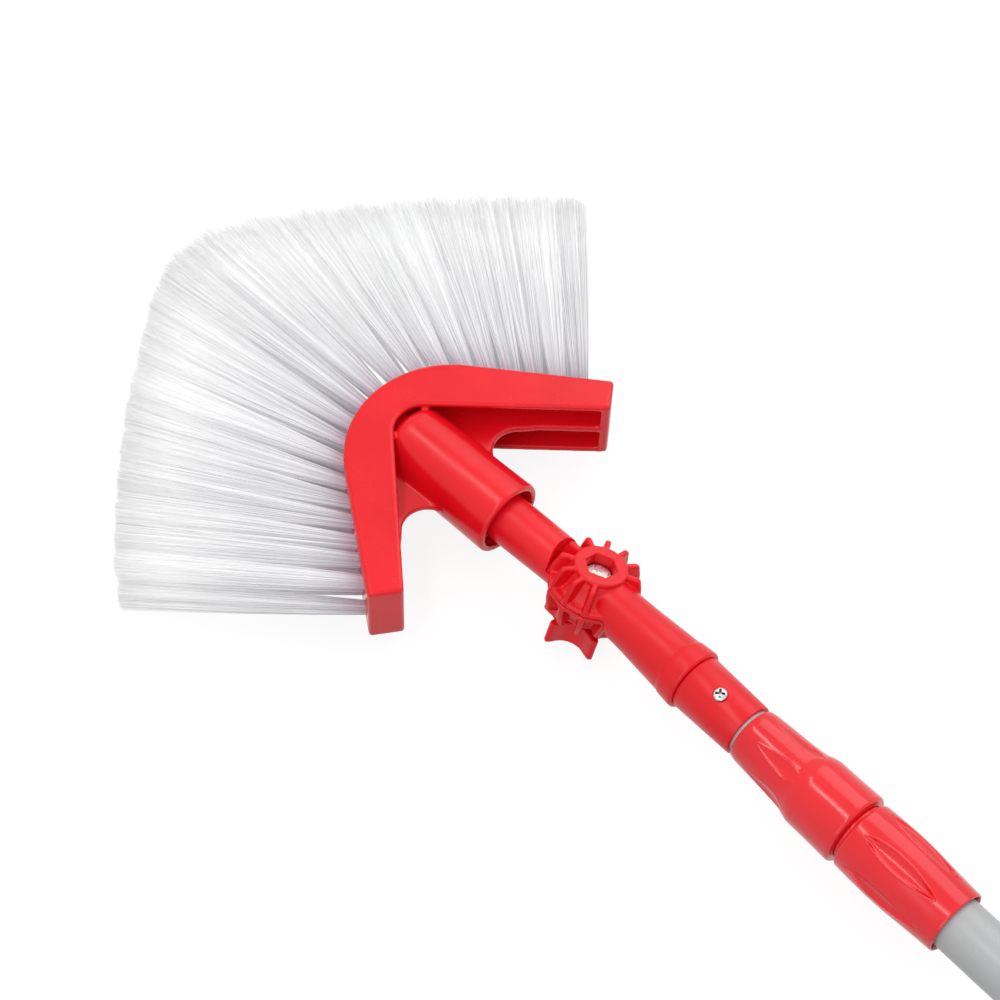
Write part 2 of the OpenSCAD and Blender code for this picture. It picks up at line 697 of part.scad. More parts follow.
module knob_nut() {
    color(steel) joint_frame() translate([0, 0, knob_z - knob_nut_h]) rotate([0, 0, knob_turn]) difference() {
        rotate([0, 0, 30]) cylinder(r = hex_r, h = knob_nut_h, $fn = 6);
        translate([0, 0, -poke]) cylinder(r = bolt_r + run_fit / 2, h = far, $fn = 64);
    }
}

// Plan of the head inside its outer edge, drawn in by inset and short of the arm ends by trim
module outer_plan(inset = 0, trim = 0) {
    r = nose_outer_r - inset;
    start = [outer_c, 0] + r * out_outer;
    end = start + (arm_edge_len - trim) * along_outer;
    translate([outer_c, 0]) circle(r = r, $fn = 128);
    for (side = [0, 1]) mirror([0, side])
        polygon([start, end, end - 1.5 * nose_band * out_outer, [outer_c, 0]]);
}

// Plan of the space between the arms
module inner_plan(inset = 0) {
    r = nose_inner_r + inset;
    start = [inner_c, 0] + r * out_inner;
    translate([inner_c, 0]) circle(r = r, $fn = 128);
    for (side = [0, 1]) mirror([0, side])
        polygon([start, start + far * along_inner, [-far, 0], [inner_c, 0]]);
}

// Plan of the web between the arms and the socket
module web_plan() {
    touch = [scallop_x, scallop_y] + scallop_r * out_inner;
    difference() {
        union() {
            translate([inner_c, 0]) circle(r = nose_inner_r + poke, $fn = 128);
            for (side = [0, 1]) mirror([0, side]) polygon([[scallop_x, 0], [scallop_x, socket_r], touch,
                touch + (scallop_land + poke) * out_inner, [inner_c, 0] + (nose_inner_r + poke) * out_inner,
                [inner_c, 0]]);
        }
        for (side = [0, 1]) mirror([0, side]) translate([scallop_x, scallop_y]) circle(r = scallop_r);
    }
}

module brush_head() {
    half_t = head_t / 2;
    cell_h = half_t - plate_t - web_t / 2;
    color(red) head_frame() difference() {
        union() {
            difference() {
                translate([0, 0, -half_t]) linear_extrude(head_t) difference() {
                    outer_plan();
                    inner_plan();
                }
                for (z = [web_t / 2, -web_t / 2 - cell_h]) translate([0, 0, z])
                    linear_extrude(cell_h) outer_plan(tuft_wall, end_wall);
            }
            translate([0, 0, -web_t / 2]) linear_extrude(web_t) web_plan();
            turned(concat([[0, neck_len]], corner(socket_mouth_r, neck_len, socket_lip, -1),
                [[socket_r, neck_len + 23]], corner(socket_r, socket_end_x, socket_end_round, 1),
                [[0, socket_end_x]]));
            tube_x(inner_nose_x - 2 * socket_end_round, nose_x - tuft_wall + poke, nose_core_r, 0);
        }
        turned([[0, neck_len - poke], [socket_entry_r, neck_len - poke],
            [socket_entry_r, neck_len + socket_entry_len - 1.5],
            [socket_entry_r - 1.5, neck_len + socket_entry_len],
            [socket_bore_r, neck_len + socket_entry_len], [socket_bore_r, socket_bore_end_x],
            [0, socket_bore_end_x + 3]]);
        translate([0, 0, -strip_w / 2 - seat_fit]) linear_extrude(strip_w + 2 * seat_fit) difference() {
            outer_plan(-poke, strip_end - seat_fit);
            outer_plan(strip_t + seat_fit, -far / 10);
        }
    }
}

// Tufts: place on the outer edge, drawn in by inset, and place of the tip, from the distance along the edge
function edge_point(u, inset = 0) =
    let (r = nose_outer_r - inset, a = u / arc_len * arc_angle)
    abs(u) <= arc_len ? [outer_c + r * cos(a), r * sin(a)]
    : let (p = [outer_c, 0] + r * out_outer + (abs(u) - arc_len) * along_outer) [p[0], sign(u) * p[1]];
function lean(u) = fan_angle * sin(90 * u / edge_half) + fan_skew * pow(u / edge_half, 2);
function reach(u) =
    bristle_len + nose_extra * exp(-pow(u / nose_fade, 2)) + arm_extra * pow(u / edge_half, 2);
function tip_point(u) = edge_point(u) + reach(u) * [cos(lean(u)), sin(lean(u))];

// Six corners of a strand: three round its root, sunk into the strip, and three round its tip
function strand(u, spot, side) =
    let (
        root = edge_point(u + spot[0]),
        tip = tip_point(u + spot[0] * spread),
        a = [root[0], root[1], side * row_z + spot[1]],
        b = [tip[0], tip[1], side * tip_z + spot[1] * thick_spread],
        d = (b - a) / norm(b - a),
        across = cross([0, 0, 1], d) / norm(cross([0, 0, 1], d)),
        up = cross(d, across),
        foot = a - d * strip_t / 2)
    concat(
        [for (k = [0:2]) foot + strand_root_r * (cos(120 * k) * across + sin(120 * k) * up)],
        [for (k = [0:2]) b + strand_tip_r * (cos(120 * k) * across + sin(120 * k) * up)]);
strand_faces = [[0, 1, 2], [5, 4, 3], [0, 4, 1], [0, 3, 4], [1, 5, 2], [1, 4, 5], [2, 3, 0], [2, 5, 3]];

// Strip under the tufts from one place along the edge to another
strip_steps = 40;
module strip(low, high) {
    along = [for (i = [0:strip_steps]) low + (high - low) * i / strip_steps];
    translate([0, 0, -strip_w / 2]) linear_extrude(strip_w) polygon(concat(
        [for (u = along) edge_point(u)],
        [for (i = [strip_steps:-1:0]) edge_point(along[i], strip_t)]));
}

// Bristles of one stretch of the edge: part is 1 for the left arm, 0 for the nose and -1 for the right arm
module bristles(part) {
    low = part == 0 ? seat_fit - strip_border : strip_border + seat_fit;
    high = part == 0 ? strip_border - seat_fit : edge_half - strip_end;
    mine = function (u) (part < 0 ? -u : u) > low && (part < 0 ? -u : u) < high;
    strands = concat(
        [for (u = upper_row) if (mine(u)) for (s = tuft_spots) strand(u, s, 1)],
        [for (u = lower_row) if (mine(u)) for (s = tuft_spots) strand(u, s, -1)]);
    head_frame() {
        strip(part < 0 ? -high : low, part < 0 ? -low : high);
        polyhedron(
            points = [for (s = strands) each s],
            faces = [for (i = [0:len(strands) - 1]) for (f = strand_faces) [for (k = f) k + 6 * i]]);
    }
}

module bristles_left() {
    color(white) bristles(1);
}

module bristles_nose() {
    color(white) bristles(0);
}

module bristles_right() {
    color(white) bristles(-1);
}

brush_head();
bristles_left();
bristles_nose();
bristles_right();
neck();
lower_arm();
joint_bolt();
joint_washer();
star_knob();
knob_nut();
pole_tip();
tip_screw();
inner_pole();
guide_bush();
clamp_nut();
squeeze_ring();
clamp_jaws();
clamp_collar();
outer_pole();
pole_grip();
end_cap();
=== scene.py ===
import json
import math

import bpy
import numpy as np
from mathutils import Matrix, Vector


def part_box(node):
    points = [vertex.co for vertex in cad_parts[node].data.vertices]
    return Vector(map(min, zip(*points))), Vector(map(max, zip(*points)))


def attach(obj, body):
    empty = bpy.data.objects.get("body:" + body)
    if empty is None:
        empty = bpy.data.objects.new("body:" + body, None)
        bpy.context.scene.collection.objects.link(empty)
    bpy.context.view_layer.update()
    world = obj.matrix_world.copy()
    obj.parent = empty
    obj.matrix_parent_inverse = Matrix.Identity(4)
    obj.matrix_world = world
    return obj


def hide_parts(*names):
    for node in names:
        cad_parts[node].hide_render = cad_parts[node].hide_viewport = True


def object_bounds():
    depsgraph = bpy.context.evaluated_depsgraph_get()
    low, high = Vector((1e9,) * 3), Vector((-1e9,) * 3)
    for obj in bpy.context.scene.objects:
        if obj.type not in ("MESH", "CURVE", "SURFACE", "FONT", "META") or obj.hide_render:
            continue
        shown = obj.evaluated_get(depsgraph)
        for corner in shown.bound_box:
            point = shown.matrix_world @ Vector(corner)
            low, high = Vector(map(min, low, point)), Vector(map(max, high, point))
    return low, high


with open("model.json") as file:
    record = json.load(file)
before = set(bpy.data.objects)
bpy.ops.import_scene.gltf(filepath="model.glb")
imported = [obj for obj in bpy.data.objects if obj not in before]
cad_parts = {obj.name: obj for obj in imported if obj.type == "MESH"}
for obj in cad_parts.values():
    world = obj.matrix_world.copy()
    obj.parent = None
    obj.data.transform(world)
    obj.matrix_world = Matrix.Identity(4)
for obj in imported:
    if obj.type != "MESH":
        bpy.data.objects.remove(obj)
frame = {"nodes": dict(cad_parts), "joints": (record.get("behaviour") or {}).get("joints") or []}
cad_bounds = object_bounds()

# Studio
# A plain white floor that keeps a faint shadow, a camera above the side of the pole that looks
# down on the head, and large soft lamps. The world is white wherever it is seen or mirrored.
camera_place = Vector((0.4070, 0.4519, 1.0050))
camera_target = Vector((0.9118, -0.0005, 0.0))
camera_lens = 97.2
floor_drop = 0.0004
lamp_target = Vector((0.86, 0.0, 0.0))


def aim(place, target):
    return (target - place).to_track_quat("-Z", "Y").to_euler()


def soft_lamp(name, place, width, height, power):
    place = Vector(place)
    bpy.ops.object.light_add(type="AREA", location=place, rotation=aim(place, lamp_target))
    lamp = bpy.context.object
    lamp.name = name
    lamp.data.shape = "RECTANGLE"
    lamp.data.size = width
    lamp.data.size_y = height
    lamp.data.energy = power


def seen_directly(tree):
    """1 for rays from the camera, from a mirror and through glass, else 0."""
    path = tree.nodes.new("ShaderNodeLightPath")
    first = tree.nodes.new("ShaderNodeMath")
    first.operation = "MAXIMUM"
    both = tree.nodes.new("ShaderNodeMath")
    both.operation = "MAXIMUM"
    tree.links.new(path.outputs["Is Camera Ray"], first.inputs[0])
    tree.links.new(path.outputs["Is Glossy Ray"], first.inputs[1])
    tree.links.new(first.outputs[0], both.inputs[0])
    tree.links.new(path.outputs["Is Transmission Ray"], both.inputs[1])
    return both.outputs[0]


def white_world(fill):
    world = bpy.data.worlds.new("studio_white")
    world.use_nodes = True
    tree = world.node_tree
    strength = tree.nodes.new("ShaderNodeMapRange")
    strength.inputs["To Min"].default_value = fill
    strength.inputs["To Max"].default_value = 1.0
    tree.links.new(seen_directly(tree), strength.inputs["Value"])
    tree.nodes["Background"].inputs["Color"].default_value = (1.0, 1.0, 1.0, 1.0)
    tree.links.new(strength.outputs["Result"], tree.nodes["Background"].inputs["Strength"])
    bpy.context.scene.world = world


def white_floor(glow, grey):
    """Paper that is white where no shadow falls, and only a little darker in the shadow."""
    material = bpy.data.materials.new("white_paper")
    material.use_nodes = True
    tree = material.node_tree
    tree.nodes.remove(tree.nodes["Principled BSDF"])
    matt = tree.nodes.new("ShaderNodeBsdfDiffuse")
    matt.inputs["Color"].default_value = (grey, grey, grey, 1.0)
    light = tree.nodes.new("ShaderNodeEmission")
    seen = tree.nodes.new("ShaderNodeMath")
    seen.operation = "MULTIPLY"
    seen.inputs[1].default_value = glow
    add = tree.nodes.new("ShaderNodeAddShader")
    tree.links.new(seen_directly(tree), seen.inputs[0])
    tree.links.new(seen.outputs[0], light.inputs["Strength"])
    tree.links.new(matt.outputs[0], add.inputs[0])
    tree.links.new(light.outputs[0], add.inputs[1])
    tree.links.new(add.outputs[0], tree.nodes["Material Output"].inputs["Surface"])
    return material


bpy.ops.object.select_all(action="DESELECT")
bpy.ops.mesh.primitive_plane_add(size=14.0, location=(0.8, 0.0, cad_bounds[0][2] - floor_drop))
studio_floor = bpy.context.object
studio_floor.name = "studio_floor"
studio_floor.data.materials.append(white_floor(glow=0.86, grey=0.20))
white_world(fill=0.66)
soft_lamp("side_lamp", (0.95, -1.15, 1.15), 1.5, 1.1, 7.5)
soft_lamp("strip_lamp", (1.15, 0.38, 1.60), 1.6, 0.15, 6.0)
soft_lamp("front_lamp", (0.35, 1.25, 0.95), 0.9, 0.9, 3.5)
bpy.ops.object.camera_add(location=camera_place, rotation=aim(camera_place, camera_target))
camera = bpy.context.object
camera.name = "studio_camera"
camera.data.lens = camera_lens
camera.data.sensor_width = 36.0
camera.data.clip_start = 0.01
bpy.context.scene.camera = camera
bpy.context.scene.view_settings.view_transform = "Standard"

# Outer pole
# A drawn steel tube of 25 mm with a wall of 0.8 mm, sprayed light grey. The collar, the grip and
# the cap are pressed on and into its two ends, which are cut square and lightly broken.
along_pole = Matrix.Rotation(math.radians(90), 4, "Y")


def trace(name, points):
    """A wire through the points, pushed out vertex by vertex from a small plane merged to one point."""
    bpy.ops.object.select_all(action="DESELECT")
    bpy.ops.mesh.primitive_plane_add(size=0.001, location=points[0])
    piece = bpy.context.object
    piece.name = name
    piece.data.name = name
    bpy.ops.object.transform_apply(location=True, rotation=True, scale=True)
    bpy.ops.object.mode_set(mode="EDIT")
    bpy.ops.mesh.select_all(action="SELECT")
    bpy.ops.mesh.merge(type="CENTER")
    for here, there in zip(points, points[1:]):
        step = Vector(there) - Vector(here)
        bpy.ops.mesh.extrude_region_move(TRANSFORM_OT_translate={"value": step})
    bpy.ops.mesh.select_all(action="SELECT")
    bpy.ops.mesh.remove_doubles(threshold=1e-7)
    return piece


def turn(name, profile, steps=128):
    """A solid turned about Z from (radius, height) points. Both ends on the axis leave it open there."""
    points = [(r, 0.0, z) for r, z in profile]
    if profile[0][0] > 0:
        points.append(points[0])
    piece = trace(name, points)
    bpy.ops.mesh.select_all(action="SELECT")
    bpy.ops.mesh.spin(steps=steps, angle=2 * math.pi, center=(0, 0, 0), axis=(0, 0, 1))
    bpy.ops.mesh.select_all(action="SELECT")
    bpy.ops.mesh.remove_doubles(threshold=2e-6)
    bpy.ops.mesh.normals_make_consistent(inside=False)
    bpy.ops.object.mode_set(mode="OBJECT")
    return piece


def only(piece):
    bpy.ops.object.select_all(action="DESELECT")
    piece.select_set(True)
    bpy.context.view_layer.objects.active = piece


def place(piece, where):
    piece.matrix_world = where
    only(piece)
    bpy.ops.object.transform_apply(location=True, rotation=True, scale=True)
    return piece


def smooth(piece, degrees=32):
    only(piece)
    bpy.ops.object.shade_smooth_by_angle(angle=math.radians(degrees))


def dress(piece, material, body, slot, *nodes):
    """Gives a finished piece its material and the body it rides on, and hides the nodes it stands for. The
    slot argument is not used.
    """
    piece.data.materials.clear()
    piece.data.materials.append(material)
    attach(piece, body)
    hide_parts(*nodes)


def new_finish(name, metallic=0.0, specular=0.5):
    """A material with its shader, its node tree and the object's own coordinates."""
    material = bpy.data.materials.new(name)
    material.use_nodes = True
    tree = material.node_tree
    shader = tree.nodes["Principled BSDF"]
    shader.inputs["Metallic"].default_value = metallic
    shader.inputs["Specular IOR Level"].default_value = specular
    place_of = tree.nodes.new("ShaderNodeTexCoord").outputs["Object"]
    return material, tree, shader, place_of


def noise(tree, coordinates, scale, detail=3.0, stretch=(1.0, 1.0, 1.0)):
    mapping = tree.nodes.new("ShaderNodeMapping")
    mapping.inputs["Scale"].default_value = stretch
    texture = tree.nodes.new("ShaderNodeTexNoise")
    texture.inputs["Scale"].default_value = scale
    texture.inputs["Detail"].default_value = detail
    tree.links.new(coordinates, mapping.inputs["Vector"])
    tree.links.new(mapping.outputs["Vector"], texture.inputs["Vector"])
    return texture.outputs["Fac"]


def blend_colours(tree, factor, first, second, low=0.35, high=0.65):
    ramp = tree.nodes.new("ShaderNodeValToRGB")
    ramp.color_ramp.elements[0].position = low
    ramp.color_ramp.elements[0].color = (*first, 1.0)
    ramp.color_ramp.elements[1].position = high
    ramp.color_ramp.elements[1].color = (*second, 1.0)
    tree.links.new(factor, ramp.inputs["Fac"])
    return ramp.outputs["Color"]


def blend_values(tree, factor, first, second, low=0.35, high=0.65):
    span = tree.nodes.new("ShaderNodeMapRange")
    span.inputs["From Min"].default_value = low
    span.inputs["From Max"].default_value = high
    span.inputs["To Min"].default_value = first
    span.inputs["To Max"].default_value = second
    tree.links.new(factor, span.inputs["Value"])
    return span.outputs["Result"]


def bump(tree, height, distance, strength=1.0, over=None):
    node = tree.nodes.new("ShaderNodeBump")
    node.inputs["Strength"].default_value = strength
    node.inputs["Distance"].default_value = distance
    tree.links.new(height, node.inputs["Height"])
    if over is not None:
        tree.links.new(over, node.inputs["Normal"])
    return node.outputs["Normal"]


def sprayed_paint():
    """Light grey powder paint with a fine orange peel and a faint speckle."""
    material, tree, shader, here = new_finish("sprayed_grey_paint", specular=0.5)
    speckle = noise(tree, here, 2600.0, 2.0)
    cloud = noise(tree, here, 18.0, 3.0)
    shade = blend_colours(tree, speckle, (0.45, 0.455, 0.46), (0.49, 0.495, 0.50))
    tree.links.new(shade, shader.inputs["Base Color"])
    tree.links.new(blend_values(tree, cloud, 0.30, 0.38), shader.inputs["Roughness"])
    peel = bump(tree, noise(tree, here, 700.0, 2.0), 0.00003, 0.3)
    tree.links.new(bump(tree, speckle, 0.00001, 0.2, over=peel), shader.inputs["Normal"])
    return material


grey_paint = sprayed_paint()
pole_low, pole_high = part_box("outer_pole")
pole_r = pole_high.z
pole_wall = 0.0008
broken_edge = 0.0002
outer_pole = turn("outer_tube", [
    (pole_r - pole_wall, pole_low.x),
    (pole_r - broken_edge, pole_low.x),
    (pole_r, pole_low.x + broken_edge),
    (pole_r, pole_high.x - broken_edge),
    (pole_r - broken_edge, pole_high.x),
    (pole_r - pole_wall, pole_high.x),
])
place(outer_pole, along_pole)
smooth(outer_pole)
dress(outer_pole, grey_paint, "outer_tube", "pole_paint", "outer_pole")

# Inner pole and its guide bush
# The thinner tube slides in the outer one. A plastic plug with a collar closes its lower end and
# keeps it from rattling; it never leaves the outer tube.
inner_low, inner_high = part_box("inner_pole")
inner_r = inner_high.z
inner_pole = turn("inner_tube", [
    (inner_r - pole_wall, inner_low.x),
    (inner_r - broken_edge, inner_low.x),
    (inner_r, inner_low.x + broken_edge),
    (inner_r, inner_high.x - broken_edge),
    (inner_r - broken_edge, inner_high.x),
    (inner_r - pole_wall, inner_high.x),
])
place(inner_pole, along_pole)
smooth(inner_pole)
dress(inner_pole, grey_paint, "inner_tube", "pole_paint", "inner_pole")


def nylon(name, dark, pale):
    """Milky grey nylon, matt, with the fine grain of a spark-eroded mould."""
    material, tree, shader, here = new_finish(name, specular=0.4)
    grain = noise(tree, here, 1500.0, 3.0)
    tree.links.new(blend_colours(tree, noise(tree, here, 60.0), dark, pale), shader.inputs["Base Color"])
    tree.links.new(blend_values(tree, grain, 0.45, 0.62), shader.inputs["Roughness"])
    tree.links.new(bump(tree, grain, 0.00005, 0.5), shader.inputs["Normal"])
    return material


grey_nylon = nylon("grey_nylon", (0.30, 0.305, 0.31), (0.40, 0.405, 0.41))
for hidden in ("guide_bush", "squeeze_ring", "clamp_jaws"):
    node = frame["nodes"][hidden]
    node.data.materials.clear()
    node.data.materials.append(grey_nylon)

# Grip
# A soft red sleeve pushed over the lower end of the outer tube as far as the cap. Rings are
# moulded round it for the hand, and a bead closes its front.


def red_plastic(name, smoothest, dullest, specular):
    """Red polypropylene: faint flow clouds, patches rubbed a little duller and a shallow moulded ripple."""
    material, tree, shader, here = new_finish(name, specular=specular)
    cloud = noise(tree, here, 26.0, 4.0)
    colour = blend_colours(tree, cloud, (0.80, 0.004, 0.012), (0.89, 0.008, 0.018))
    tree.links.new(colour, shader.inputs["Base Color"])
    rub = noise(tree, here, 55.0, 4.0)
    tree.links.new(blend_values(tree, rub, smoothest, dullest), shader.inputs["Roughness"])
    ripple = bump(tree, noise(tree, here, 90.0, 2.0), 0.00010, 0.3)
    fine = noise(tree, here, 1900.0, 2.0)
    tree.links.new(bump(tree, fine, 0.00001, 0.25, over=ripple), shader.inputs["Normal"])
    return material


red_gloss = red_plastic("red_gloss", 0.15, 0.20, 0.50)
red_satin = red_plastic("red_satin", 0.30, 0.40, 0.36)
grip_low, grip_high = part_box("pole_grip")
grip_r = pole_r + 0.00225
grip_bead = 0.0008
bead_round = 0.0015
ring_pitch = 0.008
groove_w = 0.0024
groove_depth = 0.001
groove_steps = 8
press_fit = 0.00005


def arc(centre, radius, start, end, steps):
    """Points of an arc in degrees, both ends included."""
    for i in range(steps + 1):
        a = math.radians(start + (end - start) * i / steps)
        yield (centre[0] + radius * math.cos(a), centre[1] + radius * math.sin(a))


def grip_profile():
    points = [(pole_r + press_fit, grip_low.x), (grip_r - 0.0005, grip_low.x), (grip_r, grip_low.x + 0.0005)]
    groove = grip_low.x + 2 * ring_pitch
    while groove < grip_high.x - 2 * ring_pitch:
        middle = groove + groove_w / 2
        half = groove_w / 2
        for i in range(groove_steps + 1):
            a = math.pi * i / groove_steps
            points.append((grip_r - groove_depth * math.sin(a) ** 0.7, middle - half * math.cos(a)))
        groove += ring_pitch
    rim_r = grip_r + grip_bead
    points.append((grip_r, grip_high.x - 0.006))
    points += list(arc((rim_r - bead_round, grip_high.x - 2 * bead_round), bead_round, -50, 0, 4))
    points += list(arc((rim_r - bead_round, grip_high.x - bead_round), bead_round, 0, 80, 6))
    points.append((pole_r + press_fit, grip_high.x))
    return points


pole_grip = place(turn("ringed_grip", grip_profile()), along_pole)
smooth(pole_grip, 40)
dress(pole_grip, red_satin, "outer_tube", "red_plastic", "pole_grip")

# End cap
# A red moulded plug closes the tube. Its flange meets the end of the tube and the grip, and a
# thick rounded eye with an 8 mm hole lets the brush hang from a hook.
cap_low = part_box("end_cap")[0]
eye_r = -cap_low.x
eye_t = 0.009
hang_hole_r = 0.004
flange_x = pole_low.x - 0.004
plug_r = pole_r - pole_wall - press_fit
clearance = 0.0001


def plate(name, outline, low, high):
    """A flat outline filled and pulled up from one height to another."""
    piece = trace(name, [(x, y, low) for x, y in list(outline) + [outline[0]]])
    bpy.ops.mesh.select_all(action="SELECT")
    bpy.ops.mesh.edge_face_add()
    bpy.ops.mesh.extrude_region_move(TRANSFORM_OT_translate={"value": (0, 0, high - low)})
    bpy.ops.mesh.select_all(action="SELECT")
    bpy.ops.mesh.normals_make_consistent(inside=False)
    bpy.ops.object.mode_set(mode="OBJECT")
    return piece


def rod(name, radius, low, high, steps=96):
    return turn(name, [(0.0, low), (radius, low), (radius, high), (0.0, high)], steps)


def modify(piece, kind, **settings):
    """Adds a modifier with its settings and applies it."""
    only(piece)
    modifier = piece.modifiers.new(kind.lower(), kind)
    for key, value in settings.items():
        setattr(modifier, key, value)
    bpy.ops.object.modifier_apply(modifier=modifier.name)
    return piece


def round_edges(piece, width, segments=3, degrees=40):
    return modify(piece, "BEVEL", width=width, segments=segments, limit_method="ANGLE",
                  angle_limit=math.radians(degrees), use_clamp_overlap=True)


def cut(piece, tool):
    modify(piece, "BOOLEAN", operation="DIFFERENCE", solver="EXACT", object=tool)
    bpy.data.objects.remove(tool)
    return piece


def fuse(name, pieces, voxel, passes):
    """Grows overlapping closed shells into one skin and relaxes it, as a mould's small fillets do."""
    bpy.ops.object.select_all(action="DESELECT")
    for piece in pieces:
        piece.select_set(True)
    bpy.context.view_layer.objects.active = pieces[0]
    if len(pieces) > 1:
        bpy.ops.object.join()
    whole = bpy.context.object
    whole.name = name
    whole.data.name = name
    modify(whole, "REMESH", mode="VOXEL", voxel_size=voxel, adaptivity=0.0)
    modify(whole, "SMOOTH", factor=0.5, iterations=passes)
    for face in whole.data.polygons:
        face.use_smooth = True
    return whole


def end_cap_shell():
    flange = turn("flange", [
        (0.0, flange_x),
        (grip_r - 0.001, flange_x),
        (grip_r - 0.0003, flange_x + 0.0003),
        (grip_r, flange_x + 0.001),
        (grip_r, pole_low.x - clearance),
        (plug_r, pole_low.x - clearance),
        (plug_r, pole_low.x + 0.023),
        (plug_r - 0.001, pole_low.x + 0.024),
        (plug_r - 0.002, pole_low.x + 0.024),
        (plug_r - 0.002, pole_low.x + 0.002),
        (0.0, pole_low.x + 0.002),
    ], steps=96)
    place(flange, along_pole)
    round_end = list(arc((0.0, 0.0), eye_r, 90, 270, 32))
    root = flange_x + 0.001
    eye = plate("eye", round_end + [(root, -eye_r), (root, eye_r)], -eye_t / 2, eye_t / 2)
    round_edges(eye, 0.0016, 4)
    cut(eye, rod("hole", hang_hole_r, -0.01, 0.01, 64))
    return fuse("hanging_cap", [flange, eye], 0.00034, 4)


end_cap = end_cap_shell()
dress(end_cap, red_satin, "outer_tube", "red_plastic", "end_cap")

# Clamp collar
# A red moulded collar is pressed and pinned on the outer tube and carries the male thread of the
# clamp. Six long hollow leaves round it give the hand a hold.
bolt = Vector(next(j for j in frame["joints"] if j["name"] == "head_angle")["pos_m"])
collar_low, collar_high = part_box("clamp_collar")
nut_low, nut_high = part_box("clamp_nut")
collar_front = nut_low.x - 0.0021
thread_r = 0.0138
# Radius of the collar at places measured back from its front face
collar_line = [(0.0, 0.0163), (0.004, 0.0166), (0.010, 0.0168), (0.018, 0.0170), (0.028, 0.0168),
               (0.038, 0.0161), (0.048, 0.0155), (0.0535, 0.0153)]
leaf_from = 0.0055
leaf_to = 0.0458
leaf_half_angle = 13.0
leaf_turn = 20.0
leaf_depth = 0.0015
leaf_pitch = 60.0
leaf_rim = 0.00028
rim_reach = 0.0004
collar_round = 0.0013
collar_blend = 0.003
collar_thread_pitch = 0.0025
jaw_bore_r = 0.01235


def interpolate(line, at):
    return float(np.interp(at, [p[0] for p in line], [p[1] for p in line]))


def smoothed(line, at, reach):
    """The line's value averaged over a short stretch, so that no corner is left in the outline."""
    return sum(interpolate(line, at + reach * k / 4) for k in range(-4, 5)) / 9


def rings(start, end, pitch):
    count = max(1, round((end - start) / pitch))
    return [start + (end - start) * i / count for i in range(count + 1)]


def off_leaf(y, z, turned):
    """Angle from the middle of the nearest leaf in degrees."""
    return (math.degrees(math.atan2(y, z)) - turned + leaf_pitch / 2) % leaf_pitch - leaf_pitch / 2


def rim_share(off, half, r):
    """1 on the outline of a leaf, fading to 0 beside it."""
    return math.exp(-((abs(off) - half) * r * math.pi / 180 / rim_reach) ** 2)


def collar_profile():
    back = collar_front - collar_low.x
    points = [(pole_r + press_fit, collar_low.x)]
    rear = smoothed(collar_line, back, collar_blend)
    points += [(rear - 0.0007, collar_low.x), (rear - 0.0002, collar_low.x + 0.0002)]
    for x in rings(collar_low.x + 0.0009, collar_front - 0.0015, 0.00036):
        points.append((smoothed(collar_line, collar_front - x, collar_blend), x))
    front = smoothed(collar_line, 0.0, collar_blend)
    points += list(arc((front - collar_round, collar_front - collar_round), collar_round, 15, 90, 5))
    x = collar_front
    while x < collar_high.x - 0.003:
        points += [(thread_r - 0.0005, x + 0.0002), (thread_r, x + 0.0009), (thread_r, x + 0.0016),
                   (thread_r - 0.0005, x + 0.0023)]
        x += collar_thread_pitch
    points += [(thread_r - 0.0005, collar_high.x), (jaw_bore_r, collar_high.x),
               (jaw_bore_r, pole_high.x + clearance), (pole_r + press_fit, pole_high.x + clearance)]
    return points


def press_leaves(piece):
    """Presses the hollow leaves into the collar, each a smooth spoon with a fine raised rim."""
    for vertex in piece.data.vertices:
        x, y, z = vertex.co
        r = math.hypot(y, z)
        back = collar_front - x
        t = (back - leaf_from) / (leaf_to - leaf_from)
        if r < thread_r + 0.0008 or not 0.0 < t < 1.0:
            continue
        off = off_leaf(y, z, leaf_turn)
        half = leaf_half_angle * math.sin(math.pi * t ** 0.9) ** 0.75
        if half < 0.5:
            continue
        share = off / half
        ends = min(1.0, 2.6 * math.sin(math.pi * t))
        dent = 0.0
        if abs(share) < 1.0:
            dent = leaf_depth * (1.0 - abs(share) ** 2.2) * ends
        dent -= leaf_rim * rim_share(off, half, r) * ends
        vertex.co.y = y * (r - dent) / r
        vertex.co.z = z * (r - dent) / r


clamp_collar = place(turn("threaded_collar", collar_profile(), steps=360), along_pole)
press_leaves(clamp_collar)
modify(clamp_collar, "SMOOTH", factor=0.4, iterations=2)
smooth(clamp_collar, 40)
dress(clamp_collar, red_gloss, "outer_tube", "red_plastic", "clamp_collar")

# Clamp nut
# The red nut screws on the collar and squeezes the jaws on the inner tube. Its back is wide and
# round; it flares down to a narrow front on which six pointed leaves are moulded flat.
nut_front = nut_high.x
nut_bore_r = inner_r + 0.00025
# Radius of the nut at places measured back from its front end
nut_line = [(0.0, 0.01255), (0.003, 0.0132), (0.012, 0.0138), (0.020, 0.0142), (0.026, 0.0146),
            (0.0315, 0.0153), (0.0345, 0.0164), (0.0375, 0.01705), (0.048, 0.01715), (0.0595, 0.01745)]
flat_from = 0.008
flat_widest = 0.024
flat_to = 0.0335
flat_half_angle = 13.5
flat_turn = 30.0
flat_press = 1.9
flat_rim = 0.00018
nut_round = 0.0017


